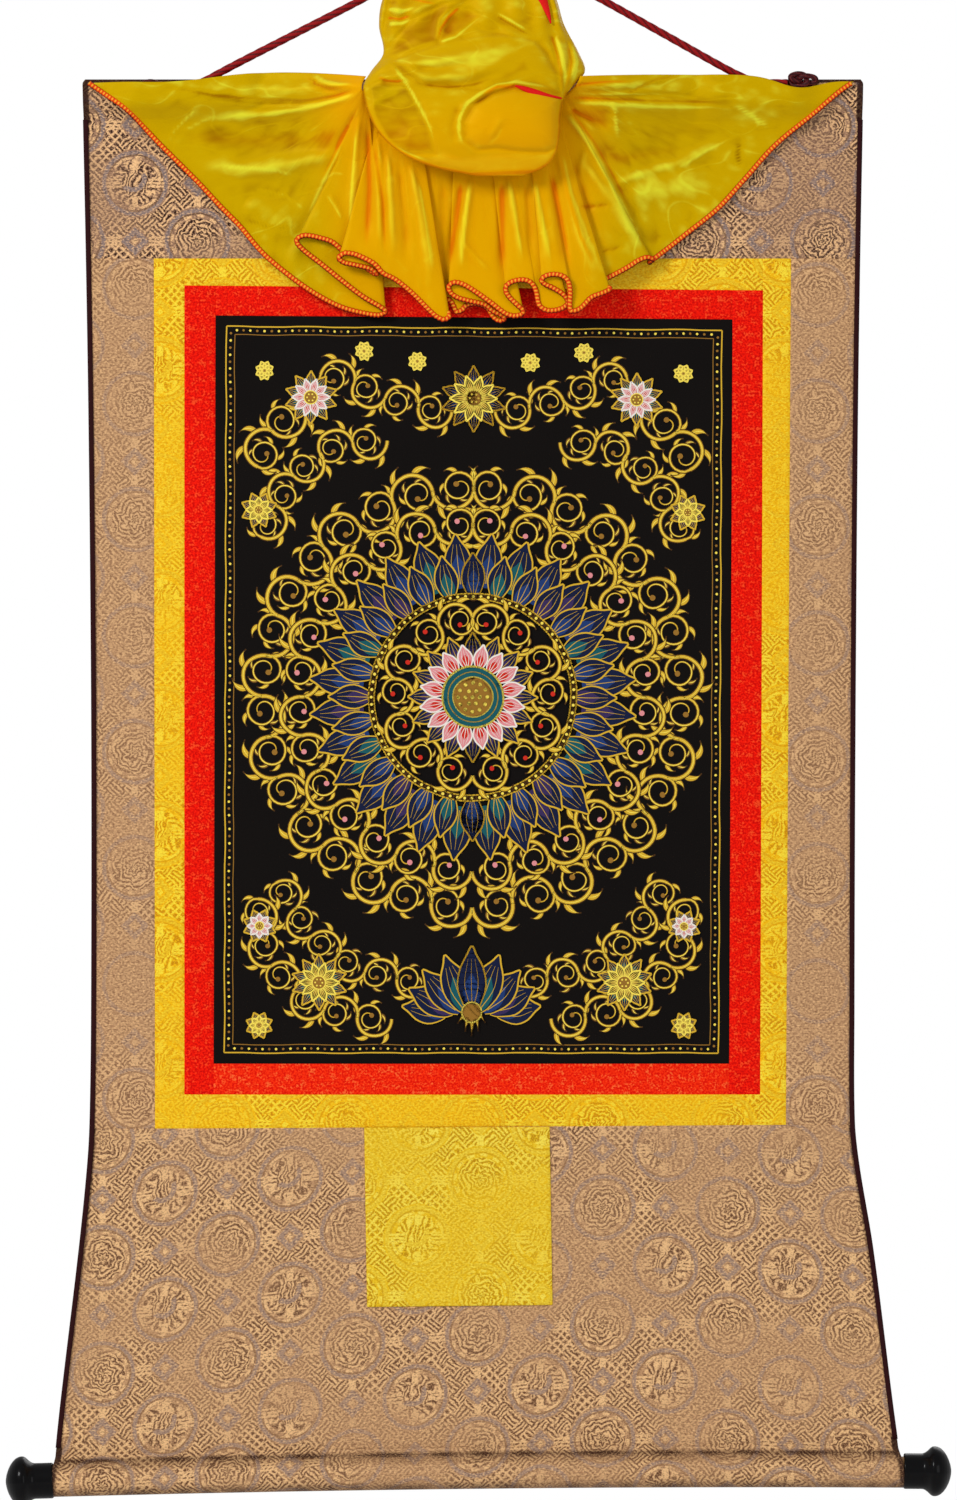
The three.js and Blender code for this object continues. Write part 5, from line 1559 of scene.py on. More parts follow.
# Creases, painted as shade or highlight with a painted warm glow: how much darker or lighter, how
# much warmer, the half width and the line.
FAN_LINES = (
    (-0.3, 0.1, 0.8, (
        (-66.1, 7.1), (-81.8, 11.2), (-100.3, 13.6), (-126.1, 12.7), (-155.7, 10.5),
        (-174.1, 7.1), (-188.9, 5.3),
    )),
    (0.35, 0, 0.9, ((-67.1, 8.6), (-81.8, 13.8), (-100.3, 16.7), (-128, 16.7), (-152, 14.5))),
    (0.35, 0, 1.1, ((-68, 10.5), (-91.1, 16.7), (-118.8, 21.5), (-144.6, 23), (-163.1, 23.8))),
    (-0.35, 0.2, 0.9, ((-98.5, -0.6), (-93.8, 4.4), (-84.6, 6.6), (-72.6, 6.6))),
    (0.3, 0, 0.9, ((-96.6, -2.1), (-89.2, 2.3), (-80, 4.6), (-67.1, 5.3))),
    (0.25, 0, 0.7, ((-164, 16.4), (-172.3, 23.8), (-179.7, 31.1), (-184.3, 39.4))),
    (0.2, 0, 0.7, ((-155.7, 22.8), (-166.8, 27.4), (-177.8, 33))),
    (-0.4, 0.3, 1.3, ((-73.9, 27.8), (-77.8, 34.8), (-83.3, 45))),
    (0.3, 0, 0.8, ((-88.3, 69.9), (-82.8, 77.3), (-77.8, 86.5))),
    (0.25, 0, 0.8, ((-91.1, 62.5), (-83.7, 57.4), (-75.4, 57.9))),
    (-0.2, 0, 1, ((-137.2, 84.7), (-122.5, 89.3), (-104, 90.2))),
    (0.25, 0, 0.9, ((-152, 52.4), (-118.8, 55.1), (-100.3, 60.7))),
    (0.25, 0, 0.9, ((-131.7, 66.2), (-113.2, 69.9), (-98.5, 81))),
    (0.35, 0, 1.1, ((-65.2, 12.7), (-76.3, 34.8), (-89.2, 60.7), (-98.5, 81), (-104.9, 95.7))),
    (-0.35, 0.4, 0.9, ((-67.1, 15.4), (-79.1, 38.5), (-92, 62.5))),
    (-0.4, 0.7, 0.8, ((56.8, 6.8), (66.9, 4.6), (81.5, 3.1), (99.9, 2.2))),
    (-0.4, 0.2, 1, ((55.9, 12.3), (77.9, 13.2), (107.2, 13.8), (136.6, 14.1), (158.6, 15.6))),
    (0.35, 0, 0.9, ((57.7, 15.1), (81.5, 16.3), (114.6, 17.4), (143.9, 17.4), (162.3, 18.7))),
    (0.3, 0, 0.8, ((57.7, 10.1), (77.9, 10.5), (107.2, 9.7), (125.6, 10.5), (143.9, 13.2))),
    (-0.3, 0.2, 0.8, ((92.6, 10.5), (101.7, 5), (110.9, 0.9), (123.7, -1.5))),
    (-0.5, 0.1, 1, ((59.5, 18.7), (66.9, 23.3), (74.2, 26.1))),
    (0.35, 0, 1.2, ((54.9, 19.6), (68.7, 38), (81.5, 60), (92.6, 83.8), (104.5, 107.7))),
    (-0.35, 0.3, 0.9, ((58.1, 18.7), (72.7, 38), (85.6, 60), (97.1, 83.8))),
    (0.3, 0, 1, ((54, 43.5), (59.5, 69.2), (68.7, 94.9), (79.7, 122.4))),
    (-0.4, 0.9, 0.8, ((52.2, 47.2), (57.3, 71), (64.7, 94.9), (74.2, 116.9))),
    (0.25, 0, 0.7, ((156.8, 15.1), (169.6, 23.3), (183.4, 33.4))),
    (-0.25, 0, 0.8, ((160.8, 38), (160.1, 47.2), (161.9, 54.9))),
    (0.25, 0, 0.8, ((123.7, 54.5), (140.3, 43.5), (162.3, 32.5))),
    (-0.2, 0, 0.7, ((65, 78), (85.2, 75.6))),
    (-0.2, 0, 0.7, ((76, 104.9), (92.6, 100.7))),
    (0.25, 0, 0.7, ((85.2, 14.1), (86.1, 25.1), (87.4, 38))),
    (-0.34, 0.7, 1.4, ((-63, 28.7), (-62, 67.1), (-64.1, 105.6))),
    (-0.3, 0.7, 1.1, ((-58.9, 41), (-54.3, 74.8), (-52.4, 108.7))),
    (-0.3, 0.7, 1.4, ((-6.6, 62.8), (-10, 90.2), (-14.3, 114.8))),
    (-0.3, 0.7, 1.6, ((17.7, 62.8), (18, 90.2), (18.3, 117.9))),
    (-0.34, 0.7, 1.4, ((47.9, 59.4), (53.4, 87.1), (59.3, 117.9))),
    (0.35, 0, 0.8, ((-70, 31.8), (-72.3, 62.5), (-74.3, 94.8))),
    (0.35, 0, 0.8, ((-32.3, 62.5), (-27.6, 90.2), (-23.5, 119.4))),
    (0.35, 0, 0.8, ((-2, 64.1), (-5, 90.2), (-7.8, 117.9))),
    (0.3, 0, 0.8, ((23.1, 64.1), (26.7, 87.1), (30, 113.3))),
    (0.3, 0, 0.8, ((38, 62.5), (42.3, 87.1), (47.3, 114.8))),
)
BUNCH_LINES = (
    (-0.55, 1, 0.7, ((-7.6, -41.3), (-14.3, -35.2), (-18.9, -28.2), (-21, -20.2))),
    (-0.45, 1, 0.7, ((-56.9, 1), (-51.5, 3), (-45.3, 3.6), (-39.2, 2.8))),
    (-0.4, 1, 1, ((5.4, 12.1), (14.7, 7.4), (25.4, 6.8), (35.4, 9), (47, 12.1))),
    (-0.35, 0.4, 0.8, ((47, -25.2), (50.8, -12.9), (53.1, -2.1), (53.9, 11.8))),
    (-0.35, 0.4, 0.7, ((57, -19), (59.3, -8.2), (57.4, 4.1), (54.7, 11.8))),
    (0.45, 0, 0.8, (
        (50, 9), (37.7, 5.6), (25.4, 4.2), (14.7, 5.8), (5.4, 10.8), (-3, 17.1), (-7.8, 25.6),
        (-8.4, 34.8), (-6, 41), (0.8, 45.3),
    )),
    (0.4, 0, 0.7, ((13.9, -38.2), (23.9, -32.1), (35.4, -25.5))),
    (-0.3, 0, 0.6, ((14.7, -35.9), (24.7, -29.8), (35.4, -23))),
    (0.25, 0, 0.8, ((-17.6, -34.1), (-10, -42.1), (0.8, -46.7))),
    (0.3, 0, 0.8, ((-48.4, -7.9), (-36.1, 11), (-25.3, 31.8), (-22, 46.4))),
    (0.45, 0, 0.8, ((49.3, -25.2), (53.1, -12.9), (55.4, -2.1), (55, 10.2))),
    (0.4, 0, 0.8, ((59.3, -20.6), (63.1, -9.8), (60.8, 2.5), (55.9, 11))),
    (0.35, 0, 0.8, ((-62.6, 24.1), (-55.5, 34.8), (-48.1, 41.6), (-40.4, 45.9), (-23.8, 52.5))),
    (0.2, 0, 1.2, ((18, 31.8), (14.7, 37.9), (8.8, 42.2))),
    (-0.25, 0, 0.8, ((-30, 5.9), (-14.6, 7.6), (0.8, 5.9), (14.7, 1.3))),
    (-0.35, 0.9, 0.8, ((-51.5, -35.3), (-43.8, -34.1), (-36.1, -36.5))),
    (-0.35, 0.9, 0.8, ((-39.2, -48.2), (-30, -44.5), (-20.7, -43))),
    (0.4, 0, 1, ((-51.2, -40.5), (-42.3, -38.7), (-33, -41.5))),
    (0.4, 0, 1, ((-50.7, -31), (-42.3, -31.6), (-35.8, -34.1))),
    (0.35, 0, 0.8, ((-20.7, -19.6), (-10, -23), (-0.4, -31.3), (6.2, -35.9))),
)
# The bunch and the pouch below it, ring by ring, as drop, left, right, back and front.
BUNCH = (
    (-86, -13, 14, 7, 17),
    (-84, -18, 19, 5, 21),
    (-80, -19.5, 21, 4.2, 22.5),
    (-75, -24.5, 25.5, 5, 25),
    (-64, -42, 38.5, 8.5, 31),
    (-48.2, -53.4, 49.7, 10, 35),
    (-31.4, -56.2, 55, 10, 38),
    (-14, -53.6, 64, 10.5, 41),
    (-3, -61, 67.5, 11.5, 44),
    (6, -66, 60, 12, 46),
    (13.3, -65, 55, 12.6, 48),
    (22, -62.8, 53, 18, 49),
    (36.2, -54.6, 52.3, 24, 48),
    (48.8, -38.9, 49, 28, 44),
    (55.5, -20.8, 42, 30, 40),
    (60, 2, 30, 32, 37),
)
FAN_ROWS = 74
FAN_STEP = 1.7  # from one column to the next along the hem
BUNCH_RINGS = 210
BUNCH_SIDES = 270
VEIL_THICKNESS = 0.35
HEM_STEP = 0.5
HEM_SIDES = 12
STITCH = 2.2  # from one stitch of the hem to the next
# Where the upper edge dips beside the knots, as how far, where and how widely.
EDGE_DIPS = ((6.2, 196, 17), (5.2, -180, 40))
# Where the fan stands off the knots and the cord below it, as from, to, fade and height.
OVER_KNOTS = ((-201, -138, 24, 7.4), (150, 190, 22, 6.2))


def line_distance(across, drop, line):
    """How far places are from a line, and how far along it is nearest, from 0 to 1."""
    best = np.full(across.shape, 1e9)
    along = np.zeros(across.shape)
    points = np.array(line, float)
    before = distances(points)
    lengths = np.diff(before)
    for k, (start, end) in enumerate(zip(points[:-1], points[1:])):
        way = end - start
        share = ((across - start[0]) * way[0] + (drop - start[1]) * way[1]) / (way @ way)
        share = np.clip(share, 0, 1)
        x = across - start[0] - share * way[0]
        y = drop - start[1] - share * way[1]
        away = np.hypot(x, y)
        near = away < best
        best = np.where(near, away, best)
        along = np.where(near, (before[k] + share * lengths[k]) / before[-1], along)
    return best, along


def fold_relief(across, drop, folds):
    """The height of all the folds at each place. A fold starts briskly and dies away slowly."""
    height = np.zeros(across.shape)
    for rise, half_width, line in folds:
        away, along = line_distance(across, drop, line)
        taper = smooth_step(-0.05, 0.14, along) * smooth_step(0, 0.4, 1 - along)
        wide = half_width * (0.75 + 0.6 * along)
        height += rise * taper * np.exp(-((away / wide) ** 2))
    return height


def depth_inside(across, drop, outline):
    """How far inside an outline places are, and how far from it on either side."""
    line = np.array([*outline, outline[0]], float)
    away, _ = line_distance(across, drop, line)
    inside = np.zeros(across.shape, bool)
    for (x0, y0), (x1, y1) in zip(line[:-1], line[1:]):
        if y0 != y1:
            crosses = (y0 > drop) != (y1 > drop)
            inside ^= crosses & (across < x0 + (drop - y0) / (y1 - y0) * (x1 - x0))
    return np.where(inside, away, 0), away


def lobe_relief(across, drop, lobes):
    """Folds that puff out or sink in within their outlines, with a crease round each."""
    height = np.zeros(across.shape)
    for rise, fade, outline in lobes:
        deep, away = depth_inside(across, drop, outline)
        height += rise * (1 - np.exp(-deep / fade)) - 0.9 * np.exp(-((away / 1.3) ** 2))
    return height


def satin_values(across, drop, zones, lines):
    """How far zones and creases paint shade or highlight into the satin's tone, and how much warm
    glow they paint.
    """
    tone, warm = np.zeros(across.shape), np.zeros(across.shape)
    for change, warmth, fade, outline in zones:
        share = smooth_step(0, fade, depth_inside(across, drop, outline)[0])
        tone, warm = tone + change * share, warm + warmth * share
    for change, warmth, half_width, line in lines:
        away, along = line_distance(across, drop, line)
        share = smooth_step(0, 0.12, along) * smooth_step(0, 0.3, 1 - along)
        share = share * np.exp(-((away / half_width) ** 2))
        tone, warm = tone + change * share, warm + warmth * share
    return tone, warm


def blurred(values, times, closed):
    """Values on a grid, smoothed with their neighbours. closed joins each row's ends."""
    for _ in range(times):
        wide = np.pad(values, ((0, 0), (1, 1)), "wrap" if closed else "edge")
        values = (wide[:, :-2] + 2 * values + wide[:, 2:]) / 4
        tall = np.pad(values, ((1, 1), (0, 0)), "edge")
        values = (tall[:-2] + 2 * values + tall[2:]) / 4
    return values


def fold_tones(height, closed=False, depth=0.06):
    """Painted shade and highlight, from 0 in the creases to 1 on the ridges."""
    near = blurred(height, 9, closed)
    fine = blurred(height, 1, closed) - near
    broad = near - near.mean()
    return np.clip(0.5 + 0.28 * fine + broad * depth, 0, 1)


def bunch_front(across, drop, side):
    """How far forward the bunch stands, at its front with a side of 1, at its back with -1."""
    drops, *sides = zip(*BUNCH)
    left, right, back, front = (np.interp(drop, drops, part) for part in sides)
    out = (2 * across - left - right) / (right - left)
    reach = np.sqrt(np.maximum(0, 1 - out * out))
    return (front + back) / 2 + side * reach * (front - back) / 2


def clear_of(across, drop):
    """The least that the cover stands forward, so that it clears the scroll and the knots."""
    lifts = []
    for start, end, fade, height in OVER_KNOTS:
        rise = smooth_step(start - fade, start, across)
        lifts.append(height * rise * (1 - smooth_step(end, end + fade, across)))
    lift = np.max(lifts, axis=0) * (1 - smooth_step(8, 38, drop))
    flat = mix(SLEEVE_FRONT + 2.2, 3.3, smooth_step(13, 27, drop))
    return flat + np.maximum(0, hang(across, drop)) + lift


def satin(name, cool, warm, streaks):
    """Satin, whose tone is painted from its folds: painted shade in the creases and painted
    highlight on the ridges, over a painted warm glow. cool and warm each hold three colours, for
    the creases, the open cloth and the ridges, and streaks sets how strongly painted sheen streaks
    show."""
    shader = Shader(
        name, roughness=0.42, specular_ior_level=0.22, specular_tint=linear(255, 206, 50)
    )
    where = shader.node("ShaderNodeUVMap", {"uv_map": "weave"}).outputs["UV"]
    cloudy = shader.noise(where, 24, detail=3.0, stretch=(1, 0.6, 1))
    crumple = shader.noise(where, 110, detail=4.0, stretch=(1, 0.5, 1))
    streak = shader.noise(where, 170, detail=3.0, stretch=(1, 0.12, 1))
    facet = shader.facets(where, 60, stretch=(1, 0.42, 1))
    small = shader.facets(where, 190, stretch=(1, 0.45, 1))
    warmth = shader.value("warm")
    # Painted light and shade of small crinkles, sheen streaks and broad shading, which also feed
    # the bump.
    crisp = (1 - warmth * 0.8) * (shader.step(cloudy, 0.34, 0.62) * 0.7 + 0.3)
    crinkle = shader.noise(where, 52, detail=1.0, stretch=(1, 0.4, 1))
    ridge = 1 - shader.step((crinkle - 0.5).math("ABSOLUTE"), 0.0, 0.022)
    fold = shader.value("fold") + (cloudy - 0.5) * 0.3 + (streak - 0.5) * streaks
    fine = (crumple - 0.5) * 0.6 + (facet - 0.4) * 0.16 - (small - 0.4) * 0.3 + ridge * 0.15
    fold = fold + fine * crisp
    tones = []
    for deep, plain, bright in (cool, warm):
        tone = shader.blend(shader.step(fold, -0.05, 0.5), deep, plain)
        tones.append(shader.blend(shader.step(fold, 0.5, 1.0), tone, bright))
    shader.bump(fold, 1.2 * MM, strength=0.5)
    # The warm colours are a painted glow for light that passes through and between the satin's
    # layers.
    return shader.colour(shader.blend(warmth, *tones))


class SCROLL_OT_cover(Maker):
    """Adds the gathered cover cloth, its stitched hem and its bunch"""

    bl_idname = "scroll.cover"
    bl_label = "Cover cloth"

    def make(self, scene):
        # Deep colours are painted shade in the creases, bright ones painted highlight on the
        # ridges; the warm set paints the glow of gathered layers.
        cool = (linear(150, 104, 0), scene.cover.satin, linear(226, 220, 48))
        warm = (linear(222, 118, 0), scene.cover.warm_satin, linear(246, 216, 30))
        material = satin("Satin", cool, warm, streaks=0.32)
        bunch = self.bunch(satin("Satin bunch", cool, warm, streaks=0.1))
        across, drop, forward, relief = self.fan_places()
        hem = self.hem(place(across[-1], drop[-1], forward[-1]), scene.cover)
        fan = self.fan(material, across, drop, forward, relief)
        points = place(across, drop, forward)

    def fan_places(self):
        """Where the two wings and the skirt lie, and the height of their folds."""
        hem = np.array([point for row in HEM for point in row], float)
        lengths = np.linalg.norm(np.diff(hem, axis=0), axis=1)
        pieces = np.clip(np.round(lengths / FAN_STEP), 2, 12).astype(int)
        index = np.concatenate(
            [np.linspace(k, k + 1, n, endpoint=False) for k, n in enumerate(pieces)]
        )
        index = np.append(index, len(hem) - 1)
        ends = [smooth_curve(range(len(hem)), part)(index) for part in hem.T]
        gather = np.array(GATHER, float)
        start_across, start_drop, sag, middle = (
            smooth_curve(gather[:, 0], part)(index) for part in gather.T[1:]
        )
        v = np.linspace(0, 1, FAN_ROWS)[:, None]
        across = mix(start_across, ends[0], v)
        drop = mix(start_drop, ends[1], v) + 4 * v * (1 - v) * sag
        place_in_row = index / (len(hem) - 1)
        edge = np.minimum(place_in_row, 1 - place_in_row)
        for dip, at, wide in EDGE_DIPS:
            drop = drop + dip * hump(across, at, wide) * hump(edge, 0, 0.012)
        start = 13 + 21 * np.clip(np.abs(start_across + 1.5) / 65, 0, 1) ** 6
        # A curve through the start, the middle and the hem.
        forward = (
            start * (1 - v) * (1 - 2 * v) + middle * 4 * v * (1 - v) + ends[2] * v * (2 * v - 1)
        )
        relief = fold_relief(across, drop, FAN_FOLDS)
        relief = relief * smooth_step(0.0, 0.12, v) * (1 - 0.6 * smooth_step(0.9, 1, v))
        forward = np.maximum(forward + relief, clear_of(across, drop))
        return across, drop, forward, relief

    def fan(self, material, across, drop, forward, relief):
        rows = place(across, drop, forward) / MM
        down = distances(rows)
        wide = np.broadcast_to(distances(rows[-1]) * 0.5, down.shape)
        fan = cloth("cover_fan", across, drop, forward, (wide, down), VEIL_THICKNESS)
        tone, added = satin_values(across, drop, FAN_ZONES, FAN_LINES)
        add_values(fan, "fold", np.clip(fold_tones(relief) + tone, 0, 1))
        # Painted warm glow in the skirt's middle and by the pinch, for light through the gathered
        # layers.
        middle = 1 - smooth_step(58, 104, np.abs(across + 4))
        pinch = np.maximum(hump(across, -66, 40) * hump(drop, 14, 26), 0)
        warm = np.clip(0.8 * middle + 0.35 * pinch + added, 0, 1)
        add_values(fan, "warm", warm)
        return finish_piece(fan, material, ["veil"])

    def bunch(self, material):
        """A closed form with the bunch's folds on its front."""
        rows = np.array(BUNCH, float)
        last = rows[-1, 0]
        drops = mix(rows[0, 0], last, np.linspace(0, 1, BUNCH_RINGS) ** 0.92)
        left, right, back, front = (
            smooth_curve(rows[:, 0], part)(drops)[:, None] for part in rows.T[1:]
        )
        angle = full_turn(BUNCH_SIDES)
        across = (left + right) / 2 + np.cos(angle) * (right - left) / 2
        facing = np.sin(angle)
        swell = np.sign(facing) * np.abs(facing) ** 0.8
        forward = (front + back) / 2 + swell * (front - back) / 2
        drop = np.broadcast_to(drops[:, None], across.shape)
        front_share = smooth_step(0.05, 0.45, facing)
        relief = fold_relief(across, drop, BUNCH_FOLDS) + lobe_relief(across, drop, BUNCH_LOBES)
        pleats = 1.1 * np.cos(angle * 17 + 1.4 * np.sin(drops[:, None] / 9))
        relief = relief * front_share + pleats * (1 - smooth_step(-40, -12, drop))
        forward = forward + relief * np.where(facing > 0, 1, 0.6)
        ends = [place(across[k].mean(), drops[k], forward[k].mean()) for k in (0, -1)]
        points = np.concatenate([place(across, drop, forward).reshape(-1, 3), ends])
        piece = mesh_object("cover_bunch", points, capped_faces(BUNCH_RINGS, BUNCH_SIDES))
        weave = np.stack([drop, across], axis=-1).reshape(-1, 2) * MM
        add_uv(piece, "weave", np.concatenate([weave, [[0, 0], [0, 0]]]))
        tone, added = satin_values(across, drop, BUNCH_ZONES, BUNCH_LINES)
        tones = fold_tones(relief, closed=True, depth=0.0) + tone * front_share
        # A painted shadow line, dark and orange, along the bunch's lower rim where it hangs over
        # the skirt.
        under = drops > 8
        rim = [*zip(left[under, 0], drops[under]), *zip(right[under, 0][::-1], drops[under][::-1])]
        rim_shadow = np.exp(-((line_distance(across, drop, rim[::6])[0] / 1.4) ** 4))
        tones, added = tones - 0.36 * rim_shadow, added + 0.7 * rim_shadow
        add_values(piece, "fold", np.append(np.clip(tones, 0, 1).ravel(), [0.5, 0.5]))
        # Painted warm glow, growing towards the bottom of the bunch.
        warm = 0.2 + 0.45 * smooth_step(0, 45, drop) + added * front_share
        warm = np.clip(warm, 0, 1)
        add_values(piece, "warm", np.append(warm.ravel(), [0.5, 0.5]))
        return finish_piece(piece, material)

    def hem(self, line, settings):
        """Thread stitched over the cloth's edge."""
        line, distance = smooth_path(line[::2], HEM_STEP * MM)
        turn = distance / (STITCH * MM) * 2 * math.pi

        def stitch(i, angle):
            return (0.5 + 0.5 * np.cos(turn[i] + 0.9 * np.sin(angle))) ** 1.5

        hem = tube(
            "cover_hem", line, lambda i, a: (1.45 + 0.3 * stitch(i, a)) * MM, HEM_SIDES
        )
        rings = tube_rings(line, lambda i, a: np.ones(np.broadcast(i, a).shape), HEM_SIDES)
        facing, below = (line[:, None] - rings)[..., 1], (line[:, None] - rings)[..., 2]
        heights = stitch(np.arange(len(line))[:, None], full_turn(HEM_SIDES)[None, :])
        # Painted highlight: the raised stitches are paler where they face forward, partly the
        # thread's own colour.
        heights = 0.6 * heights * smooth_step(0.55, 0.95, facing)
        # Painted shade on the hem's sides and underside.
        heights += 0.4 * smooth_step(0.25, 0.65, facing) * (1 - smooth_step(0.3, 0.75, below))
        add_values(hem, "strand", np.concatenate([heights.ravel(), [0, 0]]))
        shader = Shader("Hem thread", roughness=0.6, specular_ior_level=0.15)
        height = shader.value("strand")
        # The darkest red is painted shade.
        tone = shader.blend(shader.step(height, 0.02, 0.34), linear(84, 12, 4), settings.hem)
        tone = shader.blend(shader.step(height, 0.5, 0.86), tone, settings.stitches)
        return finish_piece(hem, shader.colour(tone))



# Ribbon

RIBBON_BAND = (-80.5, -26, 31, -2.4, 24)  # drop, left, right, back and front of its inside
RIBBON_WIDTH = 6.4
RIBBON_POWER = 0.45  # from 1 for an oval band towards 0 for a square one
RIBBON_SIDES = 96
RIBBON_THICKNESS = 0.6
# The band's section, as parts of its width and how far out.
RIBBON_PROFILE = ((-0.5, 0), (-0.5, 1), (-0.2, 1.15), (0.2, 1.15), (0.5, 1), (0.5, 0))
# The loose end's middle as across and drop, with its width there.
RIBBON_END = (
    (28, -80, 8.6),
    (33, -68, 8.8),
    (37.5, -57, 8.2),
    (42, -46, 5.4),
    (45.5, -37, 2.2),
    (47, -31.5, 0.3),
)
# What shows of the ribbon between the pouch's folds.
RIBBON_SLIT = (
    (25.6, 6.6, 0.4),
    (31, 8.4, 2.6),
    (38, 10.6, 3.2),
    (46, 12.4, 1.6),
    (53.4, 13.6, 0.6),
)


class SCROLL_OT_ribbon(Maker):
    """Adds the ribbon that ties the bunch"""

    bl_idname = "scroll.ribbon"
    bl_label = "Ribbon"

    def make(self, scene):
        shader = Shader("Ribbon", roughness=0.55, specular_ior_level=0.15)
        ribs = shader.noise(shader.solid(), 900, detail=2.0)
        tone = shader.blend(ribs, linear(214, 8, 8), linear(240, 28, 20))
        shader.bump(ribs, 0.1 * MM)
        material = shader.colour(tone)
        drop, left, right, back, front = RIBBON_BAND
        round_out = heading(full_turn(RIBBON_SIDES))
        out, fore = (np.sign(round_out) * np.abs(round_out) ** RIBBON_POWER).T
        points = []
        for low, thick in RIBBON_PROFILE:
            across = (left + right) / 2 + out * ((right - left) / 2 + thick)
            forward = (front + back) / 2 + fore * ((front - back) / 2 + thick)
            points.append(place(across, drop + low * RIBBON_WIDTH, forward))
        faces = grid_faces(len(RIBBON_PROFILE), RIBBON_SIDES, round_rows=True, round_columns=True)
        faces = [(a, b, d, c) for a, c, d, b in faces]
        band = mesh_object("ribbon_band", np.concatenate(points), faces)
        finish_piece(band, material, ["veil_ribbon"])
        loose = self.strip("ribbon_end", RIBBON_END, 1.6, material)
        slit = self.strip("ribbon_slit", RIBBON_SLIT, 1.5, material)

    def strip(self, name, line, rise, material):
        """A tapering strip that lies on the bunch."""
        rows = np.array(line, float)
        share = np.linspace(0, len(rows) - 1, 40)
        middle = np.stack([smooth_curve(range(len(rows)), part)(share) for part in rows.T], -1)
        way = np.gradient(middle[:, :2], axis=0)
        way /= np.linalg.norm(way, axis=1)[:, None]
        u = np.linspace(-0.5, 0.5, 9)
        across = middle[:, :1] - way[:, 1:] * u * middle[:, 2:]
        drop = middle[:, 1:2] + way[:, :1] * u * middle[:, 2:]
        forward = bunch_front(across, drop, 1) + rise + 0.8 * (1 - 4 * u * u)
        piece = cloth(name, across, drop, forward, (across, drop), RIBBON_THICKNESS)
        return finish_piece(piece, material)


# Knobs

KNOB_BORE, KNOB_BORE_DEPTH = 9.1, 12
# A knob's outline from its bore outwards, as distance from its inner end and radius.
KNOB_OUTLINE = (
    (KNOB_BORE_DEPTH, 0.01),
    (KNOB_BORE_DEPTH, KNOB_BORE),
    (0.3, KNOB_BORE),
    (0, 9.4),
    (0, 10.2),
    (0.5, 10.75),
    (11.4, 10.75),
    (12.6, 11.1),
    (14.4, 12.3),
    (16.2, 14.1),
    (17.4, 14.9),
    (18.8, 15.1),
    (20.6, 14.8),
    (22.4, 13.9),
    (24.2, 12.2),
    (25.8, 10),
    (27.2, 7.2),
    (28.2, 4.2),
    (28.7, 1.6),
    (28.8, 0.01),
)
KNOB_SIDES = 72


class SCROLL_OT_knobs(Maker):
    """Adds the two turned and lacquered knobs at the dowel's ends"""

    bl_idname = "scroll.knobs"
    bl_label = "Knobs"

    def make(self, scene):
        shader = Shader(
            "Lacquer",
            roughness=0.35,
            specular_ior_level=0.04,
            coat_weight=0.16,
            coat_roughness=0.06,
        )
        cloud = shader.noise(shader.solid(), 60, detail=2.0)
        shader.bump(cloud, 0.12 * MM, strength=0.4)
        shader.colour(shader.blend(cloud, linear(3, 3, 4), linear(9, 8, 10)))
        for side, edge in ((-1, LEFT_EDGE[-1]), (1, RIGHT_EDGE[-1])):
            start = edge - side * LAYER + side * 2 * GAP
            self.knob(start, side, shader.material)

    def knob(self, start, side, material):
        outline = soft_path(KNOB_OUTLINE, 0.5, 1)
        near = np.array([start, dowel_drop(start)])
        far = np.array([start + side * 10, dowel_drop(start + side * 10)])
        way = (far - near) / np.linalg.norm(far - near)
        angle = full_turn(KNOB_SIDES)
        along, radius = outline[:, :1], outline[:, 1:]
        high = radius * np.sin(angle)
        across = near[0] + along * way[0] - high * way[1]
        drop = near[1] + along * way[1] + high * way[0]
        points = place(across, drop, radius * np.cos(angle))
        faces = grid_faces(len(outline), KNOB_SIDES, round_rows=True)
        word = "left" if side < 0 else "right"
        if side < 0:
            faces = [face[::-1] for face in faces]
        piece = mesh_object(f"knob_{word}_turned", points, faces)
        finish_piece(piece, material, [f"knob_{word}"])


# The picture, a generic design of lotus flowers and leafy scrolls in gold on black

PAINTS = {
    "umber": (70, 44, 14),
    "old gold": (150, 104, 18),
    "gold": (216, 172, 30),
    "pale gold": (252, 226, 84),
    "navy": (14, 24, 58),
    "blue": (28, 56, 112),
    "teal": (18, 88, 96),
    "violet": (56, 42, 88),
    "rose": (226, 142, 146),
    "white": (240, 232, 222),
    "red": (206, 42, 26),
}
PAINT_RISE = 0.05  # how much each coat stands above the one under it
PICTURE_HALF_WIDE, PICTURE_HALF_HIGH = 155.5, 225.0
CLOTH_HALF = 0.45  # from the middle of the picture's cloth to its face
TENDRIL_TURNS = 1.45


def turned(points, angle, at):
    """Points turned and moved."""
    points = np.asarray(points, float)
    cos, sin = math.cos(angle), math.sin(angle)
    x = points[:, 0] * cos - points[:, 1] * sin + at[0]
    y = points[:, 0] * sin + points[:, 1] * cos + at[1]
    return np.stack([x, y], axis=-1)


def rounded(points, count):
    """A smooth line through the points."""
    points = np.asarray(points, float)
    index = np.arange(len(points))
    where = np.linspace(0, len(points) - 1, count)
    return np.stack([smooth_curve(index, part)(where) for part in points.T], axis=-1)


def walk(start, angles, step):
    """Places along a line from its start, with a step of that length towards each angle."""
    steps = (heading(angles) * np.reshape(step, (-1, 1)))[:-1]
    return np.array(start) + np.concatenate([[(0, 0)], np.cumsum(steps, axis=0)])


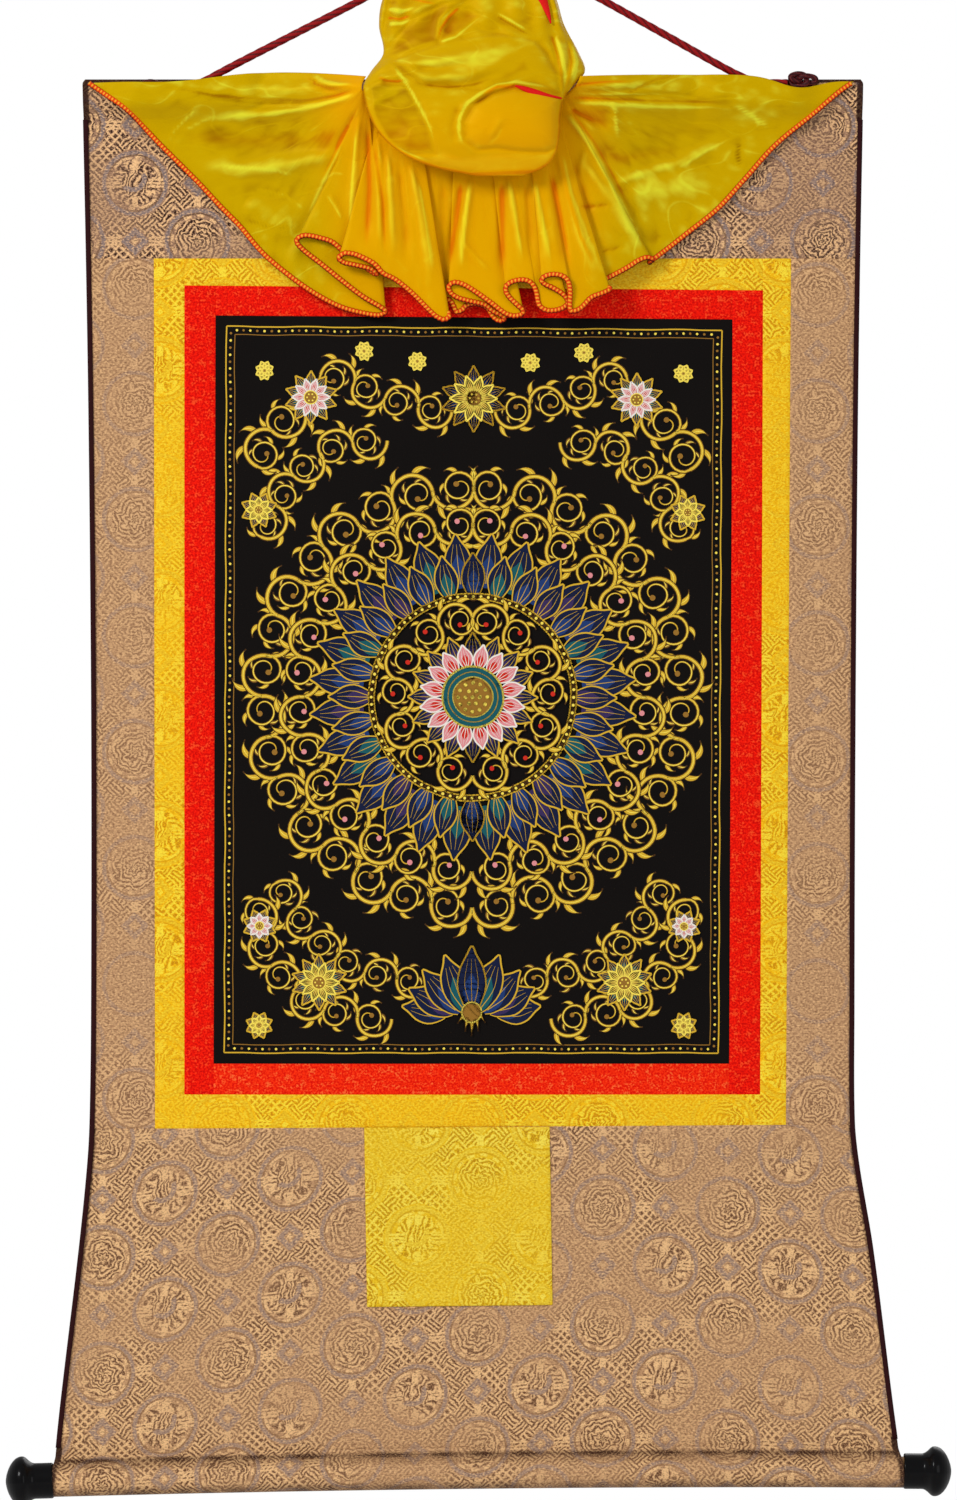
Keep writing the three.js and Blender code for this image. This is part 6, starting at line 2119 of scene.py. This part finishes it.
class Painter:
    """Gathers flat strokes and fills, in millimetres from the picture's middle."""

    def __init__(self):
        self.points, self.levels, self.faces, self.paints = [], [], [], []
        self.count = 0

    def add(self, points, faces, paint, level):
        """Adds faces and their mirror image across the picture's middle line."""
        for side in (1, -1):
            self.points.append(points * (side, 1))
            self.levels.append(np.full(len(points), level))
            for face in faces:
                face = face if side > 0 else face[::-1]
                self.faces.append(tuple(index + self.count for index in face))
                self.paints.append(paint)
            self.count += len(points)

    def fill(self, outline, paint, level):
        flat = [Vector((x, y, 0)) for x, y in outline]
        self.add(np.asarray(outline), tessellate_polygon([flat]), paint, level)

    def stroke(self, line, widths, paint, level):
        """A brush line, with one width or several that are spread along it."""
        line = np.asarray(line, float)
        way = np.gradient(line, axis=0)
        way /= np.maximum(np.hypot(way[:, 0], way[:, 1]), 1e-9)[:, None]
        normal = np.stack([-way[:, 1], way[:, 0]], axis=-1)
        widths = np.atleast_1d(widths).astype(float)
        spots = np.linspace(0, 1, len(widths)) if len(widths) > 1 else [0]
        half = np.interp(np.linspace(0, 1, len(line)), spots, widths)[:, None] / 2
        points = np.concatenate([line + normal * half, line - normal * half])
        n = len(line)
        self.add(points, [(k, k + n, k + n + 1, k + 1) for k in range(n - 1)], paint, level)

    def dot(self, at, radius, paint, level, sides=10):
        ring = heading(full_turn(sides)) * radius + at
        self.add(ring, [tuple(range(sides))], paint, level)

    def ring(self, at, radius, width, paint, level, sides=96):
        angle = np.linspace(0, 2 * math.pi, sides)
        self.stroke(heading(angle) * radius + at, width, paint, level)

    def beads(self, line, radius, paint, level):
        for at in line:
            self.dot(at, radius, paint, level, sides=8)

    # Motifs

    def petal(self, at, angle, length, width, paints, level):
        """A lotus petal with a turned tip, two washes of colour, veins and a gold edge."""
        base, wash, edge = paints
        half = [(0, 0.1), (0.12, 0.3), (0.4, 0.5), (0.66, 0.42), (0.86, 0.17), (1, 0)]
        shape = half + [(x, -y) for x, y in half[-2::-1]]
        outer = [(x * length, y * width) for x, y in shape]
        outline = turned(rounded(outer, 30), angle, at)
        self.fill(outline, base, level)
        inner = [(x * 0.62 * length, y * 0.62 * width) for x, y in shape]
        self.fill(turned(rounded(inner, 20), angle, at), wash, level + 1)
        self.stroke(outline, (0.5, 0.9, 1.1, 0.9, 0.5), edge, level + 2)
        for side in (-1, 0, 1):
            vein = [
                (0.08 * length, side * 0.06 * width),
                (0.45 * length, side * 0.24 * width),
                (0.8 * length, side * 0.12 * width),
            ]
            self.stroke(turned(rounded(vein, 8), angle, at), (0.5, 0.15), edge, level + 2)

    def flower(self, at, radius, count, paints, level):
        """Two rings of petals round a seed head."""
        outer, inner = paints
        # Each ring's turn, how far out it starts, its petals' length and width, and its level.
        rings = ((0.5, 0.275, 0.72, 2.6, 1.5, outer, 0), (0, 0.16, 0.55, 2.0, 1.0, inner, 6))
        for turn, out, length, share, least, kind, above in rings:
            for k in range(count):
                angle = 2 * math.pi * (k + turn) / count
                spot = at + out * radius * heading(angle)
                width = radius * share / count + least
                at_level = level + above + 3 * (k % 2)
                self.petal(spot, angle, radius * length, width, kind, at_level)
        self.dot(at, radius * 0.24, "old gold", level + 12, sides=18)
        self.ring(at, radius * 0.24, 0.6, "pale gold", level + 13, sides=24)
        for spot in at + 0.13 * radius * heading(full_turn(6)):
            self.dot(spot, radius * 0.035, "pale gold", level + 13, sides=6)

    def leaf(self, at, way, length, width, curl, level):
        """One lobe of a leaf, in two golds with a light line along it."""
        s = np.linspace(0, 1, 10)
        line = walk(at, way + curl * s, length / 9)
        swell = np.sin(math.pi * np.minimum(1, s * 1.1 + 0.12)) ** 0.8 * (1 - s) ** 0.35
        self.stroke(line, width * swell + 0.9, "umber", level)
        self.stroke(line, width * swell, "old gold" if width < 2.2 else "gold", level + 1)
        self.stroke(line[1:8], (0.2, 0.55, 0.2), "pale gold", level + 2)

    def scroll(self, at, way, size, turn, level, lobes, heart):
        """A tendril that winds up, with leaf lobes outside it and a bud in its heart."""
        s = np.linspace(0, 1, 34)
        angle = way + turn * 2 * math.pi * TENDRIL_TURNS * s**0.85
        line = walk(at, angle, size * 0.115 * (1 - 0.86 * s**0.8))
        thick = max(1.0, size * 0.05)
        for k in range(lobes):
            i = 1 + round(k * 19 / lobes)
            fade = 1 - 0.5 * k / lobes
            out = angle[i] - turn * (1.05 + 0.15 * (k % 2))
            self.leaf(line[i], out, size * 0.36 * fade, size * 0.105 * fade, turn * 1.7, level)
        self.stroke(line, (thick + 1.2, thick * 0.6 + 0.8, 0.9), "umber", level + 2)
        self.stroke(line, (thick, thick * 0.6, 0.5), "gold", level + 3)
        self.stroke(line[:26], (0.2, 0.5, 0.2), "pale gold", level + 4)
        self.dot(line[-1], size * 0.06, heart, level + 4)

    def rinceau(self, points, count, level, heart="old gold"):
        """A stem that weaves along a line, with a tendril wound up in each of its hollows."""
        joints, run = even_places(rounded(points, 200), count + 1)
        step = run[-1] / count
        for k, (start, end) in enumerate(zip(joints[:-1], joints[1:])):
            side = 1 if k % 2 else -1
            forward = math.atan2(*(end - start)[::-1])
            angle = forward + math.pi - side * np.linspace(0, math.pi, 16)
            arc = (start + end) / 2 + heading(angle) * step / 2
            self.stroke(arc, 0.09 * step + 1, "umber", level + 2)
            self.stroke(arc, 0.08 * step, "gold", level + 3)
            self.stroke(arc, (0.2, 0.5, 0.2), "pale gold", level + 4)
            for spot in (4, 9):
                way = angle[spot] - side * 0.5
                self.leaf(arc[spot], way, step * 0.5, step * 0.15, -side * 1.6, level)
            self.scroll(end, forward - side * math.pi / 2, step * 1.16, -side, level, 5, heart)

    def spray(self, at, way, size, level):
        """Five leaves that fan out, as under a flower."""
        for k in (-2, 2, -1, 1, 0):
            length = size * (1 - 0.12 * abs(k))
            self.leaf(at, way + 0.5 * k, length, size * 0.2, -0.5 * np.sign(k), level)

    def mesh(self):
        """The paint as one mesh that lies on the picture's cloth."""
        points, level = np.concatenate(self.points), np.concatenate(self.levels)
        wobble = 0.22 * np.sin(points[:, 1] / 5.3 + 1.7 * np.sin(points[:, 0] / 7.1))
        sway = 0.22 * np.sin(points[:, 0] / 4.7 + 1.9 * np.sin(points[:, 1] / 8.3))
        u = (points[:, 0] + sway + PICTURE_HALF_WIDE) / (2 * PICTURE_HALF_WIDE)
        v = (PICTURE_HALF_HIGH - points[:, 1] - wobble) / (2 * PICTURE_HALF_HIGH)
        across, drop = corners_at(PICTURE, u, v)
        forward = hang(across, drop) + cockles(across, drop) + CLOTH_HALF
        forward = forward + PAINT_RISE * (1 + level)
        piece = mesh_object("painting_lines", place(across, drop, forward), self.faces)
        names = list(PAINTS)
        for name in names:
            shine = 0.35 if "gold" in name else 0.12
            shader = Shader(f"Paint {name}", roughness=0.5, specular_ior_level=shine)
            piece.data.materials.append(shader.colour(linear(*PAINTS[name])))
        piece.data.polygons.foreach_set("material_index", [names.index(p) for p in self.paints])
        return piece


BLUE_PETAL = ("navy", "blue", "gold")
TEAL_PETAL = ("navy", "teal", "gold")
VIOLET_PETAL = ("navy", "violet", "gold")
ROSE_PETAL = ("rose", "red", "white")
GOLD_PETAL = ("umber", "old gold", "pale gold")
MEDALLION = (0, -4)  # the middle of the large lotus


class SCROLL_OT_picture(Maker):
    """Adds the picture's black ground and the design that is painted on it"""

    bl_idname = "scroll.picture"
    bl_label = "Picture"

    def make(self, scene):
        material = canvas("Picture ground", linear(12, 10, 10), linear(24, 20, 18))
        base = panel("painting_cloth", PICTURE)
        finish_piece(base, material, ["painting"])
        painter = Painter()
        self.edge(painter)
        self.medallion(painter)
        self.upper(painter)
        self.lower(painter)
        paint = painter.mesh()
        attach(paint, BODY)

    def edge(self, painter):
        """Two thin lines and a row of beads round the picture."""
        wide, high = PICTURE_HALF_WIDE, PICTURE_HALF_HIGH
        for inset, width, paint in ((6.5, 0.8, "gold"), (11.5, 0.5, "old gold")):
            x, y = wide - inset, high - inset
            for line in (((0, y), (x, y)), ((0, -y), (x, -y)), ((x, -y), (x, y))):
                ends = np.linspace(0, 1, 40)[:, None]
                way = mix(np.array(line[0]), np.array(line[1]), ends)
                painter.stroke(way, width, paint, 0)
        x, y = wide - 9, high - 9
        for k in range(0, 35):
            across = k * 4.2
            for row in (y, -y):
                painter.dot((across, row), 0.8, "old gold" if k % 2 else "pale gold", 1, sides=6)
        for k in range(-51, 52):
            painter.dot((x, k * 4.2), 0.8, "old gold" if k % 2 else "pale gold", 1, sides=6)

    def medallion(self, painter):
        """A large lotus seen from above in a wreath of leafy scrolls."""
        middle = np.array(MEDALLION)

        def spot(radius, angle):
            return middle + radius * heading(angle)

        def arc(radius):
            return spot(radius, np.linspace(-math.pi / 2, math.pi / 2, 24))

        # Only the right half is drawn, as every motif is mirrored.
        painter.rinceau(arc(127), 16, 0)
        painter.rinceau(arc(105), 14, 5, heart="rose")
        kinds = (BLUE_PETAL, TEAL_PETAL, BLUE_PETAL, VIOLET_PETAL)
        for k in range(14):
            angle = -math.pi / 2 + math.pi * (k + 0.5) / 14
            painter.petal(spot(66, angle), angle, 33, 16.5, kinds[(k + 1) % 4], 10 + 3 * (k % 2))
        for k in range(15):
            angle = -math.pi / 2 + math.pi * k / 14
            painter.petal(spot(60, angle), angle, 27, 14, kinds[k % 4], 16 + 3 * (k % 2))
        painter.ring(middle, 61, 3.4, "umber", 22)
        painter.ring(middle, 62.6, 0.8, "gold", 23)
        painter.ring(middle, 59.2, 0.8, "gold", 23)
        painter.beads(spot(60.9, np.linspace(-math.pi / 2, math.pi / 2, 43)), 0.9, "pale gold", 23)
        painter.rinceau(arc(47.5), 7, 23, heart="red")
        for k in range(9):
            angle = -math.pi / 2 + math.pi * k / 8
            painter.petal(spot(20, angle), angle, 19, 9.5, VIOLET_PETAL, 28 + 3 * (k % 2))
        for k in range(8):
            angle = -math.pi / 2 + math.pi * (k + 0.5) / 8
            painter.petal(spot(17, angle), angle, 15, 8.5, ROSE_PETAL, 34 + 3 * (k % 2))
        painter.dot(middle, 18.4, "teal", 40, sides=48)
        painter.ring(middle, 18.4, 1.2, "pale gold", 41)
        painter.ring(middle, 15, 0.6, "gold", 41)
        painter.dot(middle, 12, "old gold", 41, sides=36)
        painter.ring(middle, 12, 0.7, "pale gold", 42)
        for radius, count in ((0, 1), (4.2, 6), (8.6, 12)):
            for k in range(count):
                painter.dot(spot(radius, 2 * math.pi * k / count), 1.2, "pale gold", 48, sides=8)

    def upper(self, painter):
        """Flowers among scrolls above the medallion."""
        painter.rinceau(((13, 168), (44, 172), (74, 186), (92, 190)), 4, 0)
        painter.rinceau(((52, 150), (80, 148), (102, 136), (116, 114), (128, 92)), 5, 0)
        painter.rinceau(((104, 172), (120, 158), (130, 134)), 2, 5)
        painter.flower((0, 176), 20, 10, (BLUE_PETAL, GOLD_PETAL), 12)
        painter.flower((98, 176), 16, 10, (TEAL_PETAL, ROSE_PETAL), 12)
        painter.flower((129, 108), 11, 8, (VIOLET_PETAL, GOLD_PETAL), 12)
        for at in ((34, 198), (66, 204), (126, 192)):
            painter.flower(at, 5.5, 8, (GOLD_PETAL, GOLD_PETAL), 3)

    def lower(self, painter):
        """A broad lotus and smaller flowers among scrolls below the medallion."""
        painter.rinceau(((26, -176), (56, -172), (84, -160), (102, -140), (118, -116)), 6, 0)
        painter.rinceau(((48, -198), (78, -196), (108, -182), (126, -154), (129, -126)), 6, 5)
        kinds = (BLUE_PETAL, TEAL_PETAL, BLUE_PETAL, VIOLET_PETAL, BLUE_PETAL)
        for k, kind in enumerate(kinds):
            angle = math.pi / 2 - 0.36 * k
            painter.petal((k * 3.5, -194), angle, 40 - 3 * k, 17, kind, 24 - 3 * k)
        painter.spray((0, -192), -math.pi / 2, 16, 27)
        painter.dot((0, -194), 6, "old gold", 30, sides=20)
        painter.ring((0, -194), 6, 0.8, "pale gold", 31, sides=28)
        painter.flower((92, -176), 17, 10, (TEAL_PETAL, GOLD_PETAL), 12)
        painter.flower((128, -142), 10, 8, (BLUE_PETAL, ROSE_PETAL), 12)
        painter.flower((128, -202), 8, 8, (VIOLET_PETAL, GOLD_PETAL), 12)


# Lights, floor and the panel

# In metres
FLOOR_LEVEL = -1.06
FLOOR_RADIUS = 1.3
FLOOR_BEVEL = 0.01
FLOOR_PINHOLE = 0.0002  # what the floor's inmost ring of points leaves open
FLOOR_SIDES = 96
SCROLL_MIDDLE = Vector((0, 0, -0.49))  # what the lamps face


class SCROLL_OT_stage(Maker):
    """Adds the lamps, the white surroundings and a pale floor"""

    bl_idname = "scroll.stage"
    bl_label = "Stage"

    def make(self, scene):
        settings = scene.stage
        self.lamp(scene, "Key", (-1.9, -2.3, 1.1), settings.key_power, 0.9)
        self.lamp(scene, "Fill", (1.9, -2.4, -0.2), settings.fill_power, 1.6)
        self.lamp(scene, "Back", (0.8, 2.2, 0.6), settings.fill_power * 1.4, 1.6)
        self.world(scene, settings.room_light)
        self.floor(settings.floor_colour)
        scene.view_settings.view_transform = "Standard"

    def lamp(self, scene, name, where, power, size):
        data = bpy.data.lights.new(name, "AREA")
        data.energy = power
        data.size = size
        lamp = bpy.data.objects.new(name, data)
        lamp.location = where
        way = SCROLL_MIDDLE - lamp.location
        lamp.rotation_euler = way.to_track_quat("-Z", "Y").to_euler()
        scene.collection.objects.link(lamp)

    def world(self, scene, strength):
        """Even light for the scroll, and plain white where it is seen itself."""
        world = bpy.data.worlds.new("Surroundings")
        world.use_nodes = True
        nodes, links = world.node_tree.nodes, world.node_tree.links
        nodes.clear()
        path = nodes.new("ShaderNodeLightPath")
        seen = nodes.new("ShaderNodeMath")
        seen.operation = "ADD"
        seen.use_clamp = True
        links.new(path.outputs["Is Camera Ray"], seen.inputs[0])
        links.new(path.outputs["Is Transmission Ray"], seen.inputs[1])
        light, white = (nodes.new("ShaderNodeBackground") for _ in range(2))
        light.inputs["Strength"].default_value = strength
        white.inputs["Strength"].default_value = 1
        for background in (light, white):
            background.inputs["Color"].default_value = (1, 1, 1, 1)
        choice = nodes.new("ShaderNodeMixShader")
        output = nodes.new("ShaderNodeOutputWorld")
        links.new(seen.outputs[0], choice.inputs[0])
        links.new(light.outputs[0], choice.inputs[1])
        links.new(white.outputs[0], choice.inputs[2])
        links.new(choice.outputs[0], output.inputs["Surface"])
        scene.world = world

    def floor(self, colour):
        """A round floor with a bevelled rim."""
        flat = heading(full_turn(FLOOR_SIDES))
        radii = (FLOOR_PINHOLE, FLOOR_RADIUS, FLOOR_RADIUS + FLOOR_BEVEL)
        points = [
            (x * radius, y * radius, FLOOR_LEVEL - low)
            for radius, low in zip(radii, (0, 0, FLOOR_BEVEL))
            for x, y in flat
        ]
        floor = mesh_object("floor", points, grid_faces(3, FLOOR_SIDES, round_rows=True))
        shader = Shader("Floor", roughness=0.8, specular_ior_level=0.2)
        grain = shader.noise(shader.solid(), 40, detail=3.0)
        paler = tuple(min(1.0, c * 1.04) for c in colour[:3]) + (1.0,)
        floor.data.materials.append(shader.colour(shader.blend(grain, colour, paler)))


STEPS = (
    SCROLL_OT_camera,
    SCROLL_OT_cord,
    SCROLL_OT_ground,
    SCROLL_OT_borders,
    SCROLL_OT_lining,
    SCROLL_OT_picture,
    SCROLL_OT_wood,
    SCROLL_OT_knobs,
    SCROLL_OT_cover,
    SCROLL_OT_ribbon,
    SCROLL_OT_stage,
)


class SCROLL_PT_steps(bpy.types.Panel):
    """The steps and the settings, in the sidebar of the 3D view"""

    bl_label = "Hanging scroll"
    bl_idname = "SCROLL_PT_steps"
    bl_space_type = "VIEW_3D"
    bl_region_type = "UI"
    bl_category = "Scroll"

    def draw(self, context):
        for group in GROUPS:
            settings = getattr(context.scene, group)
            for key in GROUPS[group].__annotations__:
                self.layout.prop(settings, key)
        for step in STEPS:
            self.layout.operator(step.bl_idname)


GROUPS = {"sewn": SewnSettings, "cover": CoverSettings, "stage": StageSettings}


def register():
    for group in GROUPS.values():
        bpy.utils.register_class(group)
    for key, group in GROUPS.items():
        setattr(bpy.types.Scene, key, PointerProperty(type=group))
    for made in (*STEPS, SCROLL_PT_steps):
        bpy.utils.register_class(made)


def unregister():
    for made in (SCROLL_PT_steps, *reversed(STEPS)):
        bpy.utils.unregister_class(made)
    for key, group in GROUPS.items():
        delattr(bpy.types.Scene, key)
        bpy.utils.unregister_class(group)


def main():
    register()
    for step in STEPS:
        group, name = step.bl_idname.split(".")
        getattr(getattr(bpy.ops, group), name)()


if __name__ == "__main__":
    main()
